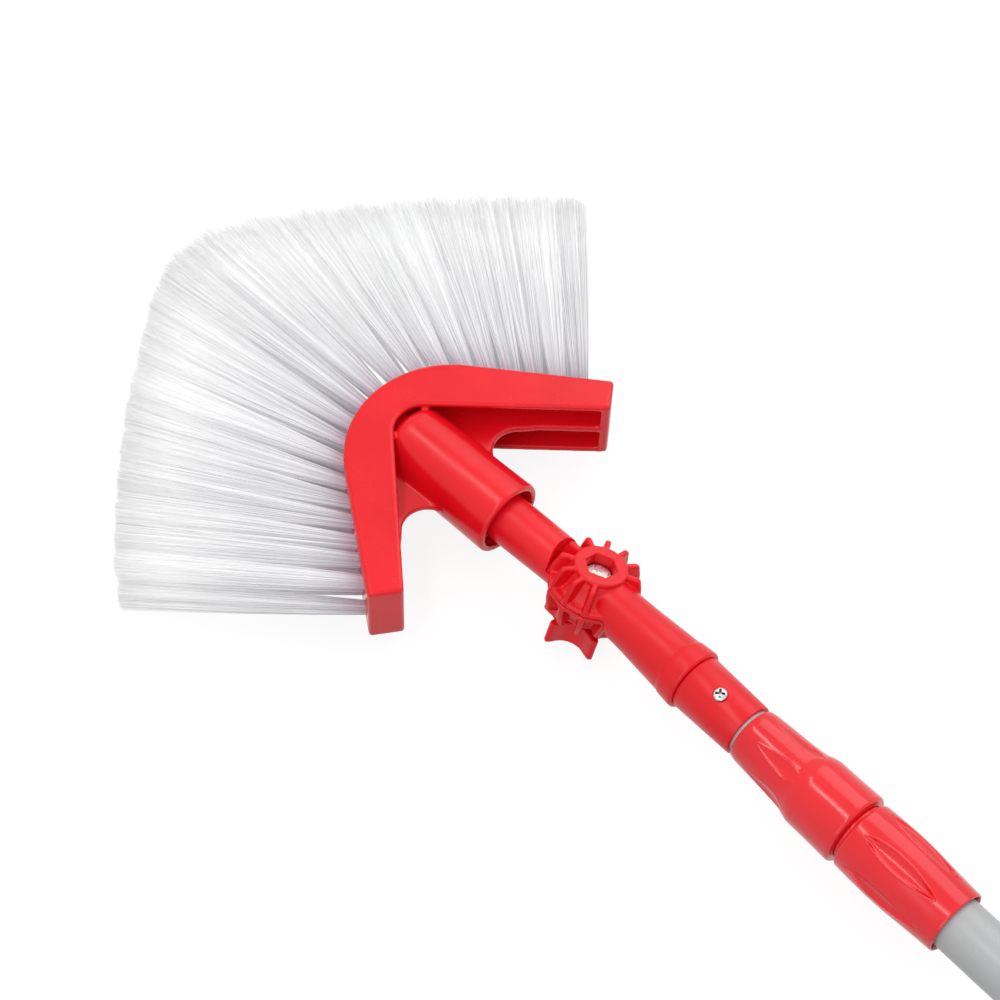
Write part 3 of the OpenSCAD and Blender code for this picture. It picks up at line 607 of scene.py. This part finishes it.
def nut_profile():
    points = [(thread_r + clearance, nut_low.x)]
    rim = smoothed(nut_line, nut_front - nut_low.x, 0.001)
    points += list(arc((rim - nut_round, nut_low.x + nut_round), nut_round, -90, 0, 7))
    for x in rings(nut_low.x + 0.0020, nut_front - 0.0008, 0.00045):
        points.append((smoothed(nut_line, nut_front - x, 0.0012), x))
    tip = smoothed(nut_line, 0.0, 0.0012)
    points += [(tip - 0.0002, nut_front - 0.0003), (tip - 0.0006, nut_front)]
    points += [(nut_bore_r, nut_front), (nut_bore_r, nut_low.x + 0.02)]
    points += [(thread_r + clearance, nut_low.x + 0.019)]
    return points


def press_flats(piece):
    """Presses the leaves on the narrow front: inside a leaf the surface sinks past the leaf's chord."""
    for vertex in piece.data.vertices:
        x, y, z = vertex.co
        r = math.hypot(y, z)
        back = nut_front - x
        if r < nut_bore_r + 0.0006 or not flat_from < back < flat_to:
            continue
        if back < flat_widest:
            half = flat_half_angle * ((back - flat_from) / (flat_widest - flat_from)) ** 0.75
        else:
            half = flat_half_angle * math.sqrt(1.0 - ((back - flat_widest) / (flat_to - flat_widest)) ** 2)
        off = off_leaf(y, z, flat_turn)
        if half < 0.5:
            continue
        dent = 0.0
        if abs(off) < half:
            chord_r = r * math.cos(math.radians(half)) / math.cos(math.radians(off))
            dent = (r - chord_r) * flat_press
        dent -= flat_rim * rim_share(off, half, r)
        vertex.co.y = y * (r - dent) / r
        vertex.co.z = z * (r - dent) / r


clamp_nut = place(turn("clamp_sleeve_nut", nut_profile(), steps=240), along_pole)
press_flats(clamp_nut)
smooth(clamp_nut, 40)
dress(clamp_nut, red_gloss, "clamp_sleeve", "red_plastic", "clamp_nut")

# Pole tip and its screw
# A red moulded ferrule closes the inner tube. One pan-head screw with a cross recess holds it, in
# a small flat seat, and a hollow threaded stud in front takes the lower arm.
tip_low, tip_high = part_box("pole_tip")
tip_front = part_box("lower_arm")[0].x - 0.0002
tip_back_r = inner_r + 0.00175
tip_front_r = inner_r + 0.00245
stud_r = 0.0094
screw_turn = math.radians(10)
screw_back = 0.0166
screw_head_r = 0.0031
screw_head_h = 0.0022
cross_slot = (0.0042, 0.0011, 0.0032)
cross_turn = 38
seat_r = tip_back_r + (tip_front_r - tip_back_r) * (1 - screw_back / (tip_front - tip_low.x)) - 0.0004
screw_place = (Matrix.Translation((tip_front - screw_back, 0, 0)) @ Matrix.Rotation(-screw_turn, 4, "X")
               @ Matrix.Translation((0, 0, seat_r)))


def thread_ridges(radius, start, end, pitch, height):
    """Ridges of a coarse moulded thread, from one place along the axis to another."""
    x = start
    while x < end - pitch:
        yield (radius - height, x + 0.10 * pitch)
        yield (radius, x + 0.35 * pitch)
        yield (radius, x + 0.60 * pitch)
        yield (radius - height, x + 0.85 * pitch)
        x += pitch


def pole_tip_shell():
    tip = turn("tip", [
        (inner_r + press_fit, tip_low.x),
        (tip_back_r - 0.0006, tip_low.x),
        (tip_back_r - 0.00017, tip_low.x + 0.00017),
        (tip_back_r, tip_low.x + 0.0006),
        (tip_front_r, tip_front - 0.0005),
        (tip_front_r - 0.00015, tip_front - 0.00015),
        (tip_front_r - 0.0005, tip_front),
        (stud_r, tip_front),
    ] + list(thread_ridges(stud_r, tip_front + 0.002, tip_high.x, 0.004, 0.0009)) + [
        (stud_r - 0.001, tip_high.x),
        (stud_r - 0.0028, tip_high.x),
        (stud_r - 0.0028, tip_front - 0.004),
        (inner_r + press_fit, tip_front - 0.004),
    ], steps=160)
    place(tip, along_pole)
    seat = rod("seat", screw_head_r + 0.0003, 0.0, 0.01, 48)
    return cut(tip, place(seat, screw_place))


pole_tip = pole_tip_shell()
pole_tip.name = "tip_ferrule"
smooth(pole_tip, 35)
dress(pole_tip, red_satin, "inner_tube", "red_plastic", "pole_tip")


def zinc_steel():
    """Bright zinc plating, mottled with darker specks, with painted shade that darkens it in the recesses.
    """
    material, tree, shader, here = new_finish("zinc_plated_steel", metallic=1.0)
    mottle = noise(tree, here, 900.0, 5.0)
    plating = blend_colours(tree, mottle, (0.38, 0.38, 0.38), (0.80, 0.80, 0.79), 0.36, 0.56)
    # Painted shade: ambient occlusion blends the plating towards near black in the recesses.
    hollow = tree.nodes.new("ShaderNodeAmbientOcclusion")
    hollow.inputs["Distance"].default_value = 0.0012
    hollow.samples = 8
    painted_recess_shade = tree.nodes.new("ShaderNodeMix")
    painted_recess_shade.data_type = "RGBA"
    painted_recess_shade.inputs["A"].default_value = (0.03, 0.03, 0.03, 1.0)
    tree.links.new(blend_values(tree, hollow.outputs["AO"], 0.0, 1.0, 0.45, 0.85), painted_recess_shade.inputs["Factor"])
    tree.links.new(plating, painted_recess_shade.inputs["B"])
    tree.links.new(painted_recess_shade.outputs["Result"], shader.inputs["Base Color"])
    tree.links.new(blend_values(tree, noise(tree, here, 400.0, 4.0), 0.30, 0.45), shader.inputs["Roughness"])
    tree.links.new(bump(tree, mottle, 0.00003, 0.3), shader.inputs["Normal"])
    return material


zinc = zinc_steel()


def cross_screw():
    shank = [(0.0, -0.008), (0.0012, -0.0078), (0.0016, -0.007), (0.0016, 0.0), (screw_head_r, 0.0)]
    dome = [(screw_head_r * math.cos(math.radians(a)) ** 0.55,
             0.0004 + (screw_head_h - 0.0004) * math.sin(math.radians(a)) ** 0.8) for a in range(0, 90, 9)]
    head = turn("head", shank + dome + [(0.0, screw_head_h)], steps=64)
    for turned in (0, 90):
        bpy.ops.mesh.primitive_cube_add(size=1, location=(0, 0, screw_head_h + 0.0001))
        slot = bpy.context.object
        slot.dimensions = cross_slot
        slot.rotation_euler.z = math.radians(turned + cross_turn)
        bpy.ops.object.transform_apply(location=True, rotation=True, scale=True)
        bpy.ops.object.mode_set(mode="EDIT")
        bpy.ops.mesh.select_all(action="SELECT")
        bpy.ops.mesh.bevel(offset=0.0002, segments=1)
        bpy.ops.object.mode_set(mode="OBJECT")
        cut(head, slot)
    return place(head, screw_place)


tip_screw = cross_screw()
tip_screw.name = "cross_recess_screw"
smooth(tip_screw, 35)
dress(tip_screw, zinc, "inner_tube", "zinc_steel", "tip_screw")

# Lower arm
# One red moulding: a tube that is screwed on the pole tip, with a rim at its back, and the upper
# half of the tilting joint, a drum with ribs all round and a hexagon recess for the bolt.
bolt_axis = Vector(next(j for j in frame["joints"] if j["name"] == "head_angle")["axis"])
head_axis = Vector(next(j for j in frame["joints"] if j["name"] == "head_unscrew")["axis"])
joint_roll = math.atan2(-bolt_axis.y, bolt_axis.z)
head_set = math.acos(head_axis.x)
joint_frame = Matrix.Translation(bolt) @ Matrix.Rotation(joint_roll, 4, "X")
joint_r = 0.0212
half_h = 0.0142
parting = 0.00015
barrel_h = 0.0255
rib_corner_r = 0.0025
rib_pitch = 30
rib_turn = 3
rib_free = 30
rib_t = 0.0028
rib_depth = 0.0054
rim_t = 0.0023
crown_r = 0.0124
crown_step = 0.0008
rib_top = half_h - crown_step
saddle_r = joint_r + 0.0008
bolt_hole_r = 0.0041
hex_af = 0.0128
hex_cos = math.cos(math.radians(30))
hex_hole_r = (hex_af / 2 + clearance) / hex_cos
recess_floor = 0.0032 + parting
arm_len = bolt.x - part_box("lower_arm")[0].x


def barrel_r(z):
    return joint_r * math.sqrt(1 - (z / barrel_h) ** 2)


def drum():
    """The core of a joint half on z = 0, with its bore, and the flat ring on top."""
    core_r = joint_r - rib_depth
    return turn("drum", [
        (bolt_hole_r, parting),
        (joint_r - 0.0013, parting),
        (joint_r - 0.0007, parting + 0.0006),
        (joint_r - 0.0008, rim_t - 0.0005),
        (joint_r - 0.0014, rim_t),
        (core_r + 0.0016, rim_t + 0.0002),
        (core_r, rim_t + 0.0012),
        (core_r - 0.0012, rim_t + 0.0030),
        (core_r - 0.0020, half_h * 0.5),
        (core_r - 0.0028, half_h * 0.64),
        (crown_r - 0.0005, rib_top - 0.0018),
        (crown_r, rib_top - 0.0008),
        (crown_r, half_h - 0.0008),
        (crown_r - 0.0003, half_h - 0.0002),
        (crown_r - 0.0009, half_h),
        (bolt_hole_r, half_h),
    ], steps=128)


def rib():
    """One rib of a joint half: a rounded fin that follows the barrel, standing along +X."""
    outline = [(crown_r - 0.002, parting + 0.0002)]
    bend = rib_top + 0.0003 - rib_corner_r
    for k in range(9):
        z = parting + 0.0002 + (bend - parting - 0.0002) * k / 8
        outline.append((barrel_r(z), z))
    outline += list(arc((barrel_r(bend) - rib_corner_r, bend), rib_corner_r, 15, 90, 5))
    outline += [(crown_r - 0.002, rib_top + 0.0003)]
    fin = plate("fin", outline, -rib_t / 2, rib_t / 2)
    round_edges(fin, 0.0012, 4)
    return place(fin, Matrix.Rotation(math.radians(90), 4, "X"))


def ribbed_half():
    """Core and ribs of one half of the joint. No rib stands where the tube leaves at -X."""
    parts = [drum()]
    first = rib()
    for angle in range(rib_turn, 360, rib_pitch):
        if abs(angle - 180) > rib_free:
            only(first)
            bpy.ops.object.duplicate()
            parts.append(place(bpy.context.object, Matrix.Rotation(math.radians(angle), 4, "Z")))
    bpy.data.objects.remove(first)
    return parts


def hexagon(name, radius, low, high):
    outline = [(radius * math.cos(math.radians(30 + 60 * k)), radius * math.sin(math.radians(30 + 60 * k)))
               for k in range(6)]
    return plate(name, outline, low, high)


def lower_arm_shell():
    half = ribbed_half()
    cut(half[0], hexagon("recess", hex_hole_r, recess_floor, 0.03))
    tube = turn("tube", [
        (0.0, 0.0088),
        (0.0112, 0.0088),
        (0.0117, 0.0095),
        (0.0117, 0.018),
        (0.0122, 0.030),
        (0.0131, 0.042),
        (0.0139, 0.0540),
        (0.0144, 0.0550),
        (0.0146, 0.0565),
        (0.0151, arm_len - 0.0014),
        (0.0148, arm_len - 0.0004),
        (0.0141, arm_len),
        (stud_r + clearance, arm_len),
        (stud_r + clearance, arm_len - 0.030),
        (0.0, arm_len - 0.032),
    ], steps=128)
    place(tube, Matrix.Rotation(math.radians(-90), 4, "Y"))
    cut(tube, rod("saddle", saddle_r, -0.05, parting))
    return fuse("arm_with_joint_half", half + [tube], 0.00045, 4)


lower_arm = place(lower_arm_shell(), joint_frame)
dress(lower_arm, red_satin, "arm", "red_plastic", "lower_arm")

# Bolt, washer and knob nut
# An M8 hexagon bolt lies in the recess of the arm and goes down through both halves. A washer and
# the knob with its pressed-in nut close the joint from below. All three are zinc-plated steel.
bolt_r = 0.004
bolt_head_h = 0.0053
bolt_len = 0.030
bolt_thread_pitch = 0.00125


def hexagon_bolt():
    top = recess_floor + bolt_head_h
    head = hexagon("hexagon_bolt", hex_af / 2 / hex_cos, recess_floor, top)
    round_edges(head, 0.0002, 2, 50)
    bowl = turn("bowl", [(0.0, -0.01), (0.009, -0.01), (0.009, top - 0.0012)]
                + [(0.0075, top - 0.0012), (0.0062, top - 0.0003), (0.0057, top), (0.0, top)], steps=96)
    modify(head, "BOOLEAN", operation="INTERSECT", solver="EXACT", object=bowl)
    bpy.data.objects.remove(bowl)
    neck_z = recess_floor + 0.0005
    end_z = recess_floor - bolt_len
    thread = thread_ridges(bolt_r, 0.007, bolt_len - recess_floor - 0.001, bolt_thread_pitch, 0.0006)
    shank = turn("shank", [(0.0, neck_z), (bolt_r, neck_z), (bolt_r, -0.006)]
                 + [(r, -z) for r, z in thread] + [(bolt_r - 0.0009, end_z), (0.0, end_z)], steps=48)
    modify(head, "BOOLEAN", operation="UNION", solver="EXACT", object=shank)
    bpy.data.objects.remove(shank)
    return head


joint_bolt = place(hexagon_bolt(), joint_frame)
smooth(joint_bolt, 30)
dress(joint_bolt, zinc, "arm", "zinc_steel", "joint_bolt")
for plated in ("joint_washer", "knob_nut"):
    node = frame["nodes"][plated]
    node.data.materials.clear()
    node.data.materials.append(zinc)

# Star knob
# The red knob under the joint has five rounded lobes with round hollows between them, a hole for
# the bolt and a hexagon pocket in which the nut is pressed.
knob_top = -half_h - 0.0016
knob_h = 0.0114
knob_r = 0.0185
knob_valley_r = 0.0098
knob_lobes = 5
knob_points = 180
nut_pocket_depth = 0.0066
knob_tip_half = 0.0024
knob_turn = math.radians(9.5)
hollow_cos = math.cos(math.pi / knob_lobes - math.asin(knob_tip_half / knob_r))
hollow_r = ((knob_valley_r ** 2 + knob_r ** 2 - 2 * knob_valley_r * knob_r * hollow_cos)
            / (2 * (knob_r * hollow_cos - knob_valley_r)))


def knob_edge(angle):
    """Radius of the knob's outline: the rim, or the hollow nearest to the angle."""
    step = 2 * math.pi / knob_lobes
    off = angle % step - step / 2
    centre = knob_valley_r + hollow_r
    inside = hollow_r ** 2 - (centre * math.sin(off)) ** 2
    if inside <= 0:
        return knob_r
    return min(knob_r, centre * math.cos(off) - math.sqrt(inside))


def relaxed(outline):
    """A closed outline with each point drawn towards its two neighbours."""
    ahead = outline[1:] + outline[:1]
    behind = outline[-1:] + outline[:-1]
    return [((b[0] + 2 * p[0] + a[0]) / 4, (b[1] + 2 * p[1] + a[1]) / 4)
            for b, p, a in zip(behind, outline, ahead)]


def star_knob_shell():
    outline = []
    for k in range(knob_points):
        angle = 2 * math.pi * k / knob_points
        r = knob_edge(angle)
        outline.append((r * math.cos(angle), r * math.sin(angle)))
    for _ in range(3):
        outline = relaxed(outline)
    knob = plate("knob", outline, knob_top - knob_h, knob_top)
    cut(knob, rod("hole", bolt_hole_r + clearance, -0.05, 0.0, 48))
    cut(knob, hexagon("pocket", hex_hole_r, knob_top - nut_pocket_depth, 0.0))
    return fuse("five_lobe_knob", [knob], 0.0004, 8)


star_knob = place(star_knob_shell(), joint_frame @ Matrix.Rotation(knob_turn, 4, "Z"))
dress(star_knob, red_satin, "knob", "red_plastic", "star_knob")

# Neck
# One red moulding: the lower half of the joint, the same ribbed drum upside down, and a tube with
# a coarse thread at its front that screws into the socket of the head.
neck_frame = joint_frame @ Matrix.Rotation(head_set, 4, "Z")
socket_mouth_x = 0.0506
neck_thread_x = socket_mouth_x + 0.0083
neck_end_x = neck_thread_x + 0.033
neck_bore_r = 0.007


def neck_shell():
    half = ribbed_half()
    for part in half:
        place(part, Matrix.Rotation(math.pi, 4, "Y"))
    tube = turn("tube", [
        (0.0, 0.0088),
        (0.0108, 0.0088),
        (0.0113, 0.0095),
        (0.0113, 0.020),
        (0.01145, 0.032),
        (0.0116, socket_mouth_x - 0.005),
        (0.0116, neck_thread_x),
    ] + list(thread_ridges(0.0119, neck_thread_x, neck_end_x - 0.001, 0.005, 0.0012)) + [
        (0.0104, neck_end_x),
        (neck_bore_r, neck_end_x),
        (neck_bore_r, saddle_r + 0.0115),
        (0.0, saddle_r + 0.008),
    ], steps=128)
    place(tube, Matrix.Rotation(math.radians(90), 4, "Y"))
    cut(tube, rod("saddle", saddle_r, -parting, 0.05))
    return fuse("neck_with_joint_half", half + [tube], 0.00045, 4)


neck = place(neck_shell(), neck_frame)
dress(neck, red_satin, "neck", "red_plastic", "neck")

# Brush head
# One large red moulding in the plan of a boomerang: a thick outer wall that holds the tufts, a top
# and a bottom plate, a web midway with a scallop on each side, end walls, and the round socket.
head_frame = neck_frame @ Matrix.Rotation(-joint_roll, 4, "X")
half_t = 0.018
nose_x = 0.1344
outer_r = 0.0487
outer_centre = nose_x - outer_r
outer_angle = math.radians(36.4)
arm_edge_len = 0.0674
inner_nose_x = nose_x - 0.0174
nose_inner_r = 0.0142
inner_centre = inner_nose_x - nose_inner_r
inner_angle = math.radians(42.3)
tuft_wall = 0.006
plate_t = 0.0032
web_t = 0.0038
plate_set_in = 0.0020
plate_trim = 0.0018
web_trim = 0.0035
end_wall = 0.0045
scallop_r = 0.0115
scallop_land = 0.0012
socket_r = 0.0179
socket_mouth_r = 0.0183
socket_end_x = inner_nose_x - 0.0015
socket_thread_r = 0.0120
along_outer = Vector((-math.cos(outer_angle), math.sin(outer_angle)))
out_outer = Vector((math.sin(outer_angle), math.cos(outer_angle)))
along_inner = Vector((-math.cos(inner_angle), math.sin(inner_angle)))
out_inner = Vector((math.sin(inner_angle), math.cos(inner_angle)))
arc_len = outer_r * (math.pi / 2 - outer_angle)
edge_half = arc_len + arm_edge_len


def edge_point(u, inset=0.0):
    """Place on the outer edge at a distance u along it from the nose, drawn in by inset."""
    if abs(u) <= arc_len:
        angle = u / outer_r
        r = outer_r - inset
        return Vector((outer_centre + r * math.cos(angle), r * math.sin(angle)))
    side = 1.0 if u > 0 else -1.0
    spot = Vector((outer_centre, 0.0)) + (outer_r - inset) * out_outer + (abs(u) - arc_len) * along_outer
    return Vector((spot.x, side * spot.y))


def outer_path(inset, trim, steps=44):
    """The outer edge from the right arm's end to the left arm's end."""
    last = edge_half - trim
    stops = [-last] + [arc_len * (2 * i / steps - 1) for i in range(steps + 1)] + [last]
    return [edge_point(u, inset) for u in stops]


def inner_end(trim):
    """Where the inner edge of the left arm meets a line across the arm, short of its end by trim."""
    across = edge_point(edge_half - trim)
    start = Vector((inner_centre, 0.0)) + nose_inner_r * out_inner
    run = (start - across).dot(along_outer) / -along_inner.dot(along_outer)
    return start + run * along_inner


def mirrored(points):
    return [Vector((p.x, -p.y)) for p in reversed(points)]


def inner_path(trim, steps=32):
    """The inner edge from the left arm's end to the right arm's end."""
    bow = [Vector((inner_centre + nose_inner_r * math.cos(a), nose_inner_r * math.sin(a)))
           for a in [(math.pi / 2 - inner_angle) * (1 - 2 * i / steps) for i in range(steps + 1)]]
    end = inner_end(trim)
    return [end] + bow + [Vector((end.x, -end.y))]


def head_plates():
    """The thick wall along the outer edge and the two plates that run from it to the inner edge."""
    wall = plate("wall", outer_path(0.0, 0.0) + list(reversed(outer_path(tuft_wall, 0.0))), -half_t, half_t)
    parts = [round_edges(wall, 0.0015, 4, 50)]
    for low, high in ((half_t - plate_t, half_t), (-half_t, plate_t - half_t)):
        outline = outer_path(plate_set_in, plate_trim) + inner_path(plate_trim)
        parts.append(round_edges(plate("plate", outline, low, high), 0.0011, 3, 50))
    return parts


def arm_end(side):
    """The wall that closes an arm, from the outer edge to the inner edge."""
    corners = [edge_point(edge_half), edge_point(edge_half - end_wall), inner_end(end_wall), inner_end(0.0)]
    outline = [(p.x, side * p.y) for p in corners]
    return round_edges(plate("arm_end", outline, -half_t, half_t), 0.0015, 4, 50)


def web():
    """The web midway between the plates, with a scallop on each side of the socket."""
    scallop_y = socket_r + scallop_r
    set_back = nose_inner_r - scallop_land - scallop_r
    scallop_x = inner_centre + (set_back - scallop_y * out_inner.y) / out_inner.x
    centre = Vector((scallop_x, scallop_y))
    touch = centre + scallop_r * out_inner
    left = [inner_end(web_trim), touch + 0.009 * along_inner + scallop_land * out_inner,
            touch + 0.004 * along_inner + 0.3 * scallop_land * out_inner]
    first = math.atan2(out_inner.y, out_inner.x)
    for i in range(21):
        a = first + (-math.pi / 2 - first) * i / 20
        left.append(centre + scallop_r * Vector((math.cos(a), math.sin(a))))
    left += [Vector((scallop_x, 0.0155)), Vector((0.104, 0.0155))]
    outline = outer_path(web_trim, web_trim) + left + mirrored(left)
    return round_edges(plate("web", outline, -web_t / 2, web_t / 2), 0.0012, 3, 50)


def socket():
    """The round socket with its wide mouth, a plain bore at the radius of its thread, and a closed, rounded
    end.
    """
    lip = 0.0016
    profile = [(0.0, 0.0989), (socket_thread_r, 0.0959), (socket_thread_r, socket_mouth_x + 0.008),
               (0.0137, socket_mouth_x + 0.008), (0.0152, socket_mouth_x + 0.0065)]
    profile += list(arc((0.0152 + 0.0006, socket_mouth_x + 0.0006), 0.0006, 180, 270, 4))
    profile += list(arc((socket_mouth_r - lip, socket_mouth_x + lip), lip, -90, 0, 6))
    profile += [(socket_r, socket_mouth_x + 0.023)]
    profile += list(arc((socket_r - 0.006, socket_end_x - 0.006), 0.006, 0, 90, 10))
    profile += [(0.0, socket_end_x)]
    shell = turn("socket", profile, steps=144)
    core = rod("core", 0.011, 0.1048, nose_x - 0.0085)
    return [place(part, Matrix.Rotation(math.radians(90), 4, "Y")) for part in (shell, core)]


brush_head = fuse("boomerang_head", head_plates() + [arm_end(1), arm_end(-1), web()] + socket(), 0.00075, 3)
place(brush_head, head_frame)
red_moulded = red_plastic("red_moulded", 0.22, 0.28, 0.36)
dress(brush_head, red_moulded, "head", "red_plastic", "brush_head")

# Tufts
# Soft white plastic filaments are folded in bundles and stapled into two rows of holes in the
# outer wall. Each bundle opens into a fan, and together they make the large round brush.
tuft_pitch = 0.0104
tuft_root_wide = 0.0033
tuft_root_high = 0.0027
row_z = 0.007
tip_z = 0.009
tip_spread_z = 0.0056
tip_overlap = 1.16
bristle_len = 0.104
nose_extra = 0.0215
nose_fade = 0.022
arm_extra = 0.006
fan_angle = math.radians(43)
fan_skew = math.radians(-3)
strip_end = 0.003
filaments = 400
filament_rings = 5
root_thick = 0.00018
tip_thick = 0.00007
root_depth = 0.003
# Strength of a painted glow that the white filaments give off themselves, dim at the root and brightest at
# the tips
painted_filament_glow = 0.33
chance = np.random.default_rng(7)


def edge_points(u):
    """edge_point for an array of distances, as an array of x and y."""
    side = np.where(u < 0, -1.0, 1.0)
    angle = u / outer_r
    beyond = np.abs(u) - arc_len
    arm_x = outer_centre + outer_r * out_outer.x + beyond * along_outer.x
    arm_y = side * (outer_r * out_outer.y + beyond * along_outer.y)
    on_arc = beyond <= 0
    return np.stack([np.where(on_arc, outer_centre + outer_r * np.cos(angle), arm_x),
                     np.where(on_arc, outer_r * np.sin(angle), arm_y)], axis=-1)


def tip_offset(u):
    """From a place on the edge to the tip of its bristles."""
    share = np.clip(u / edge_half, -1.2, 1.2)
    lean = fan_angle * np.sin(math.pi / 2 * share) + fan_skew * share ** 2
    reach = bristle_len + nose_extra * np.exp(-(u / nose_fade) ** 2) + arm_extra * share ** 2
    return reach[..., None] * np.stack([np.cos(lean), np.sin(lean)], axis=-1)


def tuft_strands(centre, side):
    """Rings of points of every filament of one tuft: (filament, ring, corner, xyz), and their UVs."""
    turn_at = chance.uniform(0, 2 * math.pi, filaments)
    out = np.sqrt(chance.uniform(0, 1, filaments))
    wide, high = out * np.cos(turn_at), out * np.sin(turn_at)
    tone = np.clip(chance.uniform(0, 1, filaments) + chance.normal(0, 0.04), 0, 1)
    short = 1.008 - np.abs(chance.normal(0, 0.010, filaments)) - 0.010 * wide ** 2 - 0.006 * high ** 2
    stray_u = chance.normal(0, 0.0008, filaments)
    stray_z = chance.normal(0, 0.0006, filaments)
    shift = chance.normal(0, 0.00035)
    t = np.linspace(0, 1, filament_rings)[None, :]
    open_u = 1 - (1 - t) ** 2.4
    open_z = 1 - (1 - t) ** 1.8
    half_tip = tuft_pitch / 2 * tip_overlap
    half_wide = tuft_root_wide + (half_tip - tuft_root_wide) * open_u
    half_high = tuft_root_high + (tip_spread_z - tuft_root_high) * open_z
    u = centre + shift + wide[:, None] * half_wide + stray_u[:, None] * t ** 2
    z = side * (row_z + (tip_z - row_z) * t) + high[:, None] * half_high + stray_z[:, None] * t ** 2
    run = t * (1 + root_depth / bristle_len) - root_depth / bristle_len
    flat = edge_points(u) + tip_offset(u) * (run * short[:, None])[..., None]
    line = np.concatenate([flat, z[..., None]], axis=-1)
    ahead = np.gradient(line, axis=1)
    ahead /= np.linalg.norm(ahead, axis=-1, keepdims=True)
    across = np.cross(np.array([0.0, 0.0, 1.0]), ahead)
    across /= np.linalg.norm(across, axis=-1, keepdims=True)
    up = np.cross(ahead, across)
    thick = (root_thick + (tip_thick - root_thick) * t)[..., None]
    twist = chance.uniform(0, 2 * math.pi, filaments)[:, None, None]
    corners = [line + thick * (np.cos(twist + k * 2 * math.pi / 3) * across
                               + np.sin(twist + k * 2 * math.pi / 3) * up) for k in range(3)]
    points = np.stack(corners, axis=2)
    uv = np.stack(np.broadcast_arrays(tone[:, None, None], t[..., None]), axis=-1)
    return points, np.broadcast_to(uv, points.shape[:3] + (2,))


def tuft_group(name, low, high):
    """All the tufts of one stretch of the edge as one mesh, with a UV of tone and place along the strand."""
    side_tufts = math.floor((edge_half - strip_end - 0.0021) / tuft_pitch)
    rows = [(i * tuft_pitch, -1) for i in range(1 - side_tufts, side_tufts + 1)]
    rows += [((i + 0.5) * tuft_pitch, 1) for i in range(-side_tufts, side_tufts)]
    made = [tuft_strands(u, side) for u, side in rows if low < u < high]
    points = np.concatenate([m[0] for m in made])
    uv = np.concatenate([m[1] for m in made]).reshape(-1, 2)
    count = points.shape[0]
    per = filament_rings * 3
    faces = []
    for ring in range(filament_rings - 1):
        for k in range(3):
            a, b = ring * 3 + k, ring * 3 + (k + 1) % 3
            faces.append((a, b, b + 3, a + 3))
    base = np.arange(count)[:, None, None] * per
    quads = (base + np.array(faces)[None]).reshape(-1, 4)
    ends = np.array([(2, 1, 0), (per - 3, per - 2, per - 1)])
    caps = (base + ends[None]).reshape(-1, 3)
    mesh = bpy.data.meshes.new(name)
    mesh.from_pydata(points.reshape(-1, 3).tolist(), [], quads.tolist() + caps.tolist())
    layer = mesh.uv_layers.new(name="strand")
    corner_of = np.empty(len(mesh.loops), dtype=np.int32)
    mesh.loops.foreach_get("vertex_index", corner_of)
    layer.data.foreach_set("uv", uv[corner_of].astype(np.float32).ravel())
    mesh.polygons.foreach_set("use_smooth", np.ones(len(mesh.polygons), dtype=bool))
    mesh.update()
    piece = bpy.data.objects.new(name, mesh)
    bpy.context.scene.collection.objects.link(piece)
    mesh.transform(head_frame)
    return piece


def multiply(tree, first, second):
    node = tree.nodes.new("ShaderNodeMix")
    node.data_type = "RGBA"
    node.blend_type = "MULTIPLY"
    node.inputs["Factor"].default_value = 1.0
    tree.links.new(first, node.inputs["A"])
    tree.links.new(second, node.inputs["B"])
    return node.outputs["Result"]


def white_filament():
    """Soft white filament with painted shade that makes it cool and dim at the root, and a painted glow that
    makes it white and bright at the tip, each its own tone.
    """
    material = bpy.data.materials.new("white_filament")
    material.use_nodes = True
    tree = material.node_tree
    shader = tree.nodes["Principled BSDF"]
    shader.inputs["Specular IOR Level"].default_value = 0.35
    shader.inputs["Sheen Weight"].default_value = 0.15
    shader.inputs["Emission Strength"].default_value = painted_filament_glow
    strand = tree.nodes.new("ShaderNodeUVMap")
    strand.uv_map = "strand"
    split = tree.nodes.new("ShaderNodeSeparateXYZ")
    tree.links.new(strand.outputs["UV"], split.inputs["Vector"])
    # Painted shade: the base colour is cool and darker at the root, where the tufts shade each other, and
    # white further along.
    along = blend_colours(tree, split.outputs["Y"], (0.78, 0.77, 0.88), (0.945, 0.945, 0.945), 0.0, 0.26)
    tone = blend_colours(tree, split.outputs["X"], (0.64, 0.64, 0.65), (1.0, 1.0, 1.0), 0.0, 0.7)
    tree.links.new(multiply(tree, along, tone), shader.inputs["Base Color"])
    # Painted glow: the emission colour rises from dim grey at the root to white at the tip.
    glow = blend_colours(tree, split.outputs["Y"], (0.30, 0.29, 0.32), (1.0, 1.0, 1.0), 0.0, 1.0)
    tree.links.new(multiply(tree, glow, tone), shader.inputs["Emission Color"])
    tree.links.new(blend_values(tree, split.outputs["X"], 0.38, 0.55, 0.0, 1.0), shader.inputs["Roughness"])
    return material


filament_white = white_filament()
strip_border = (round(2 * arc_len / tuft_pitch) + 0.5) * tuft_pitch / 2
for name, node, low, high in (("left_arm_tufts", "bristles_left", strip_border, edge_half),
                              ("nose_tufts", "bristles_nose", -strip_border, strip_border),
                              ("right_arm_tufts", "bristles_right", -edge_half, -strip_border)):
    dress(tuft_group(name, low, high), filament_white, "head", "bristle", node)
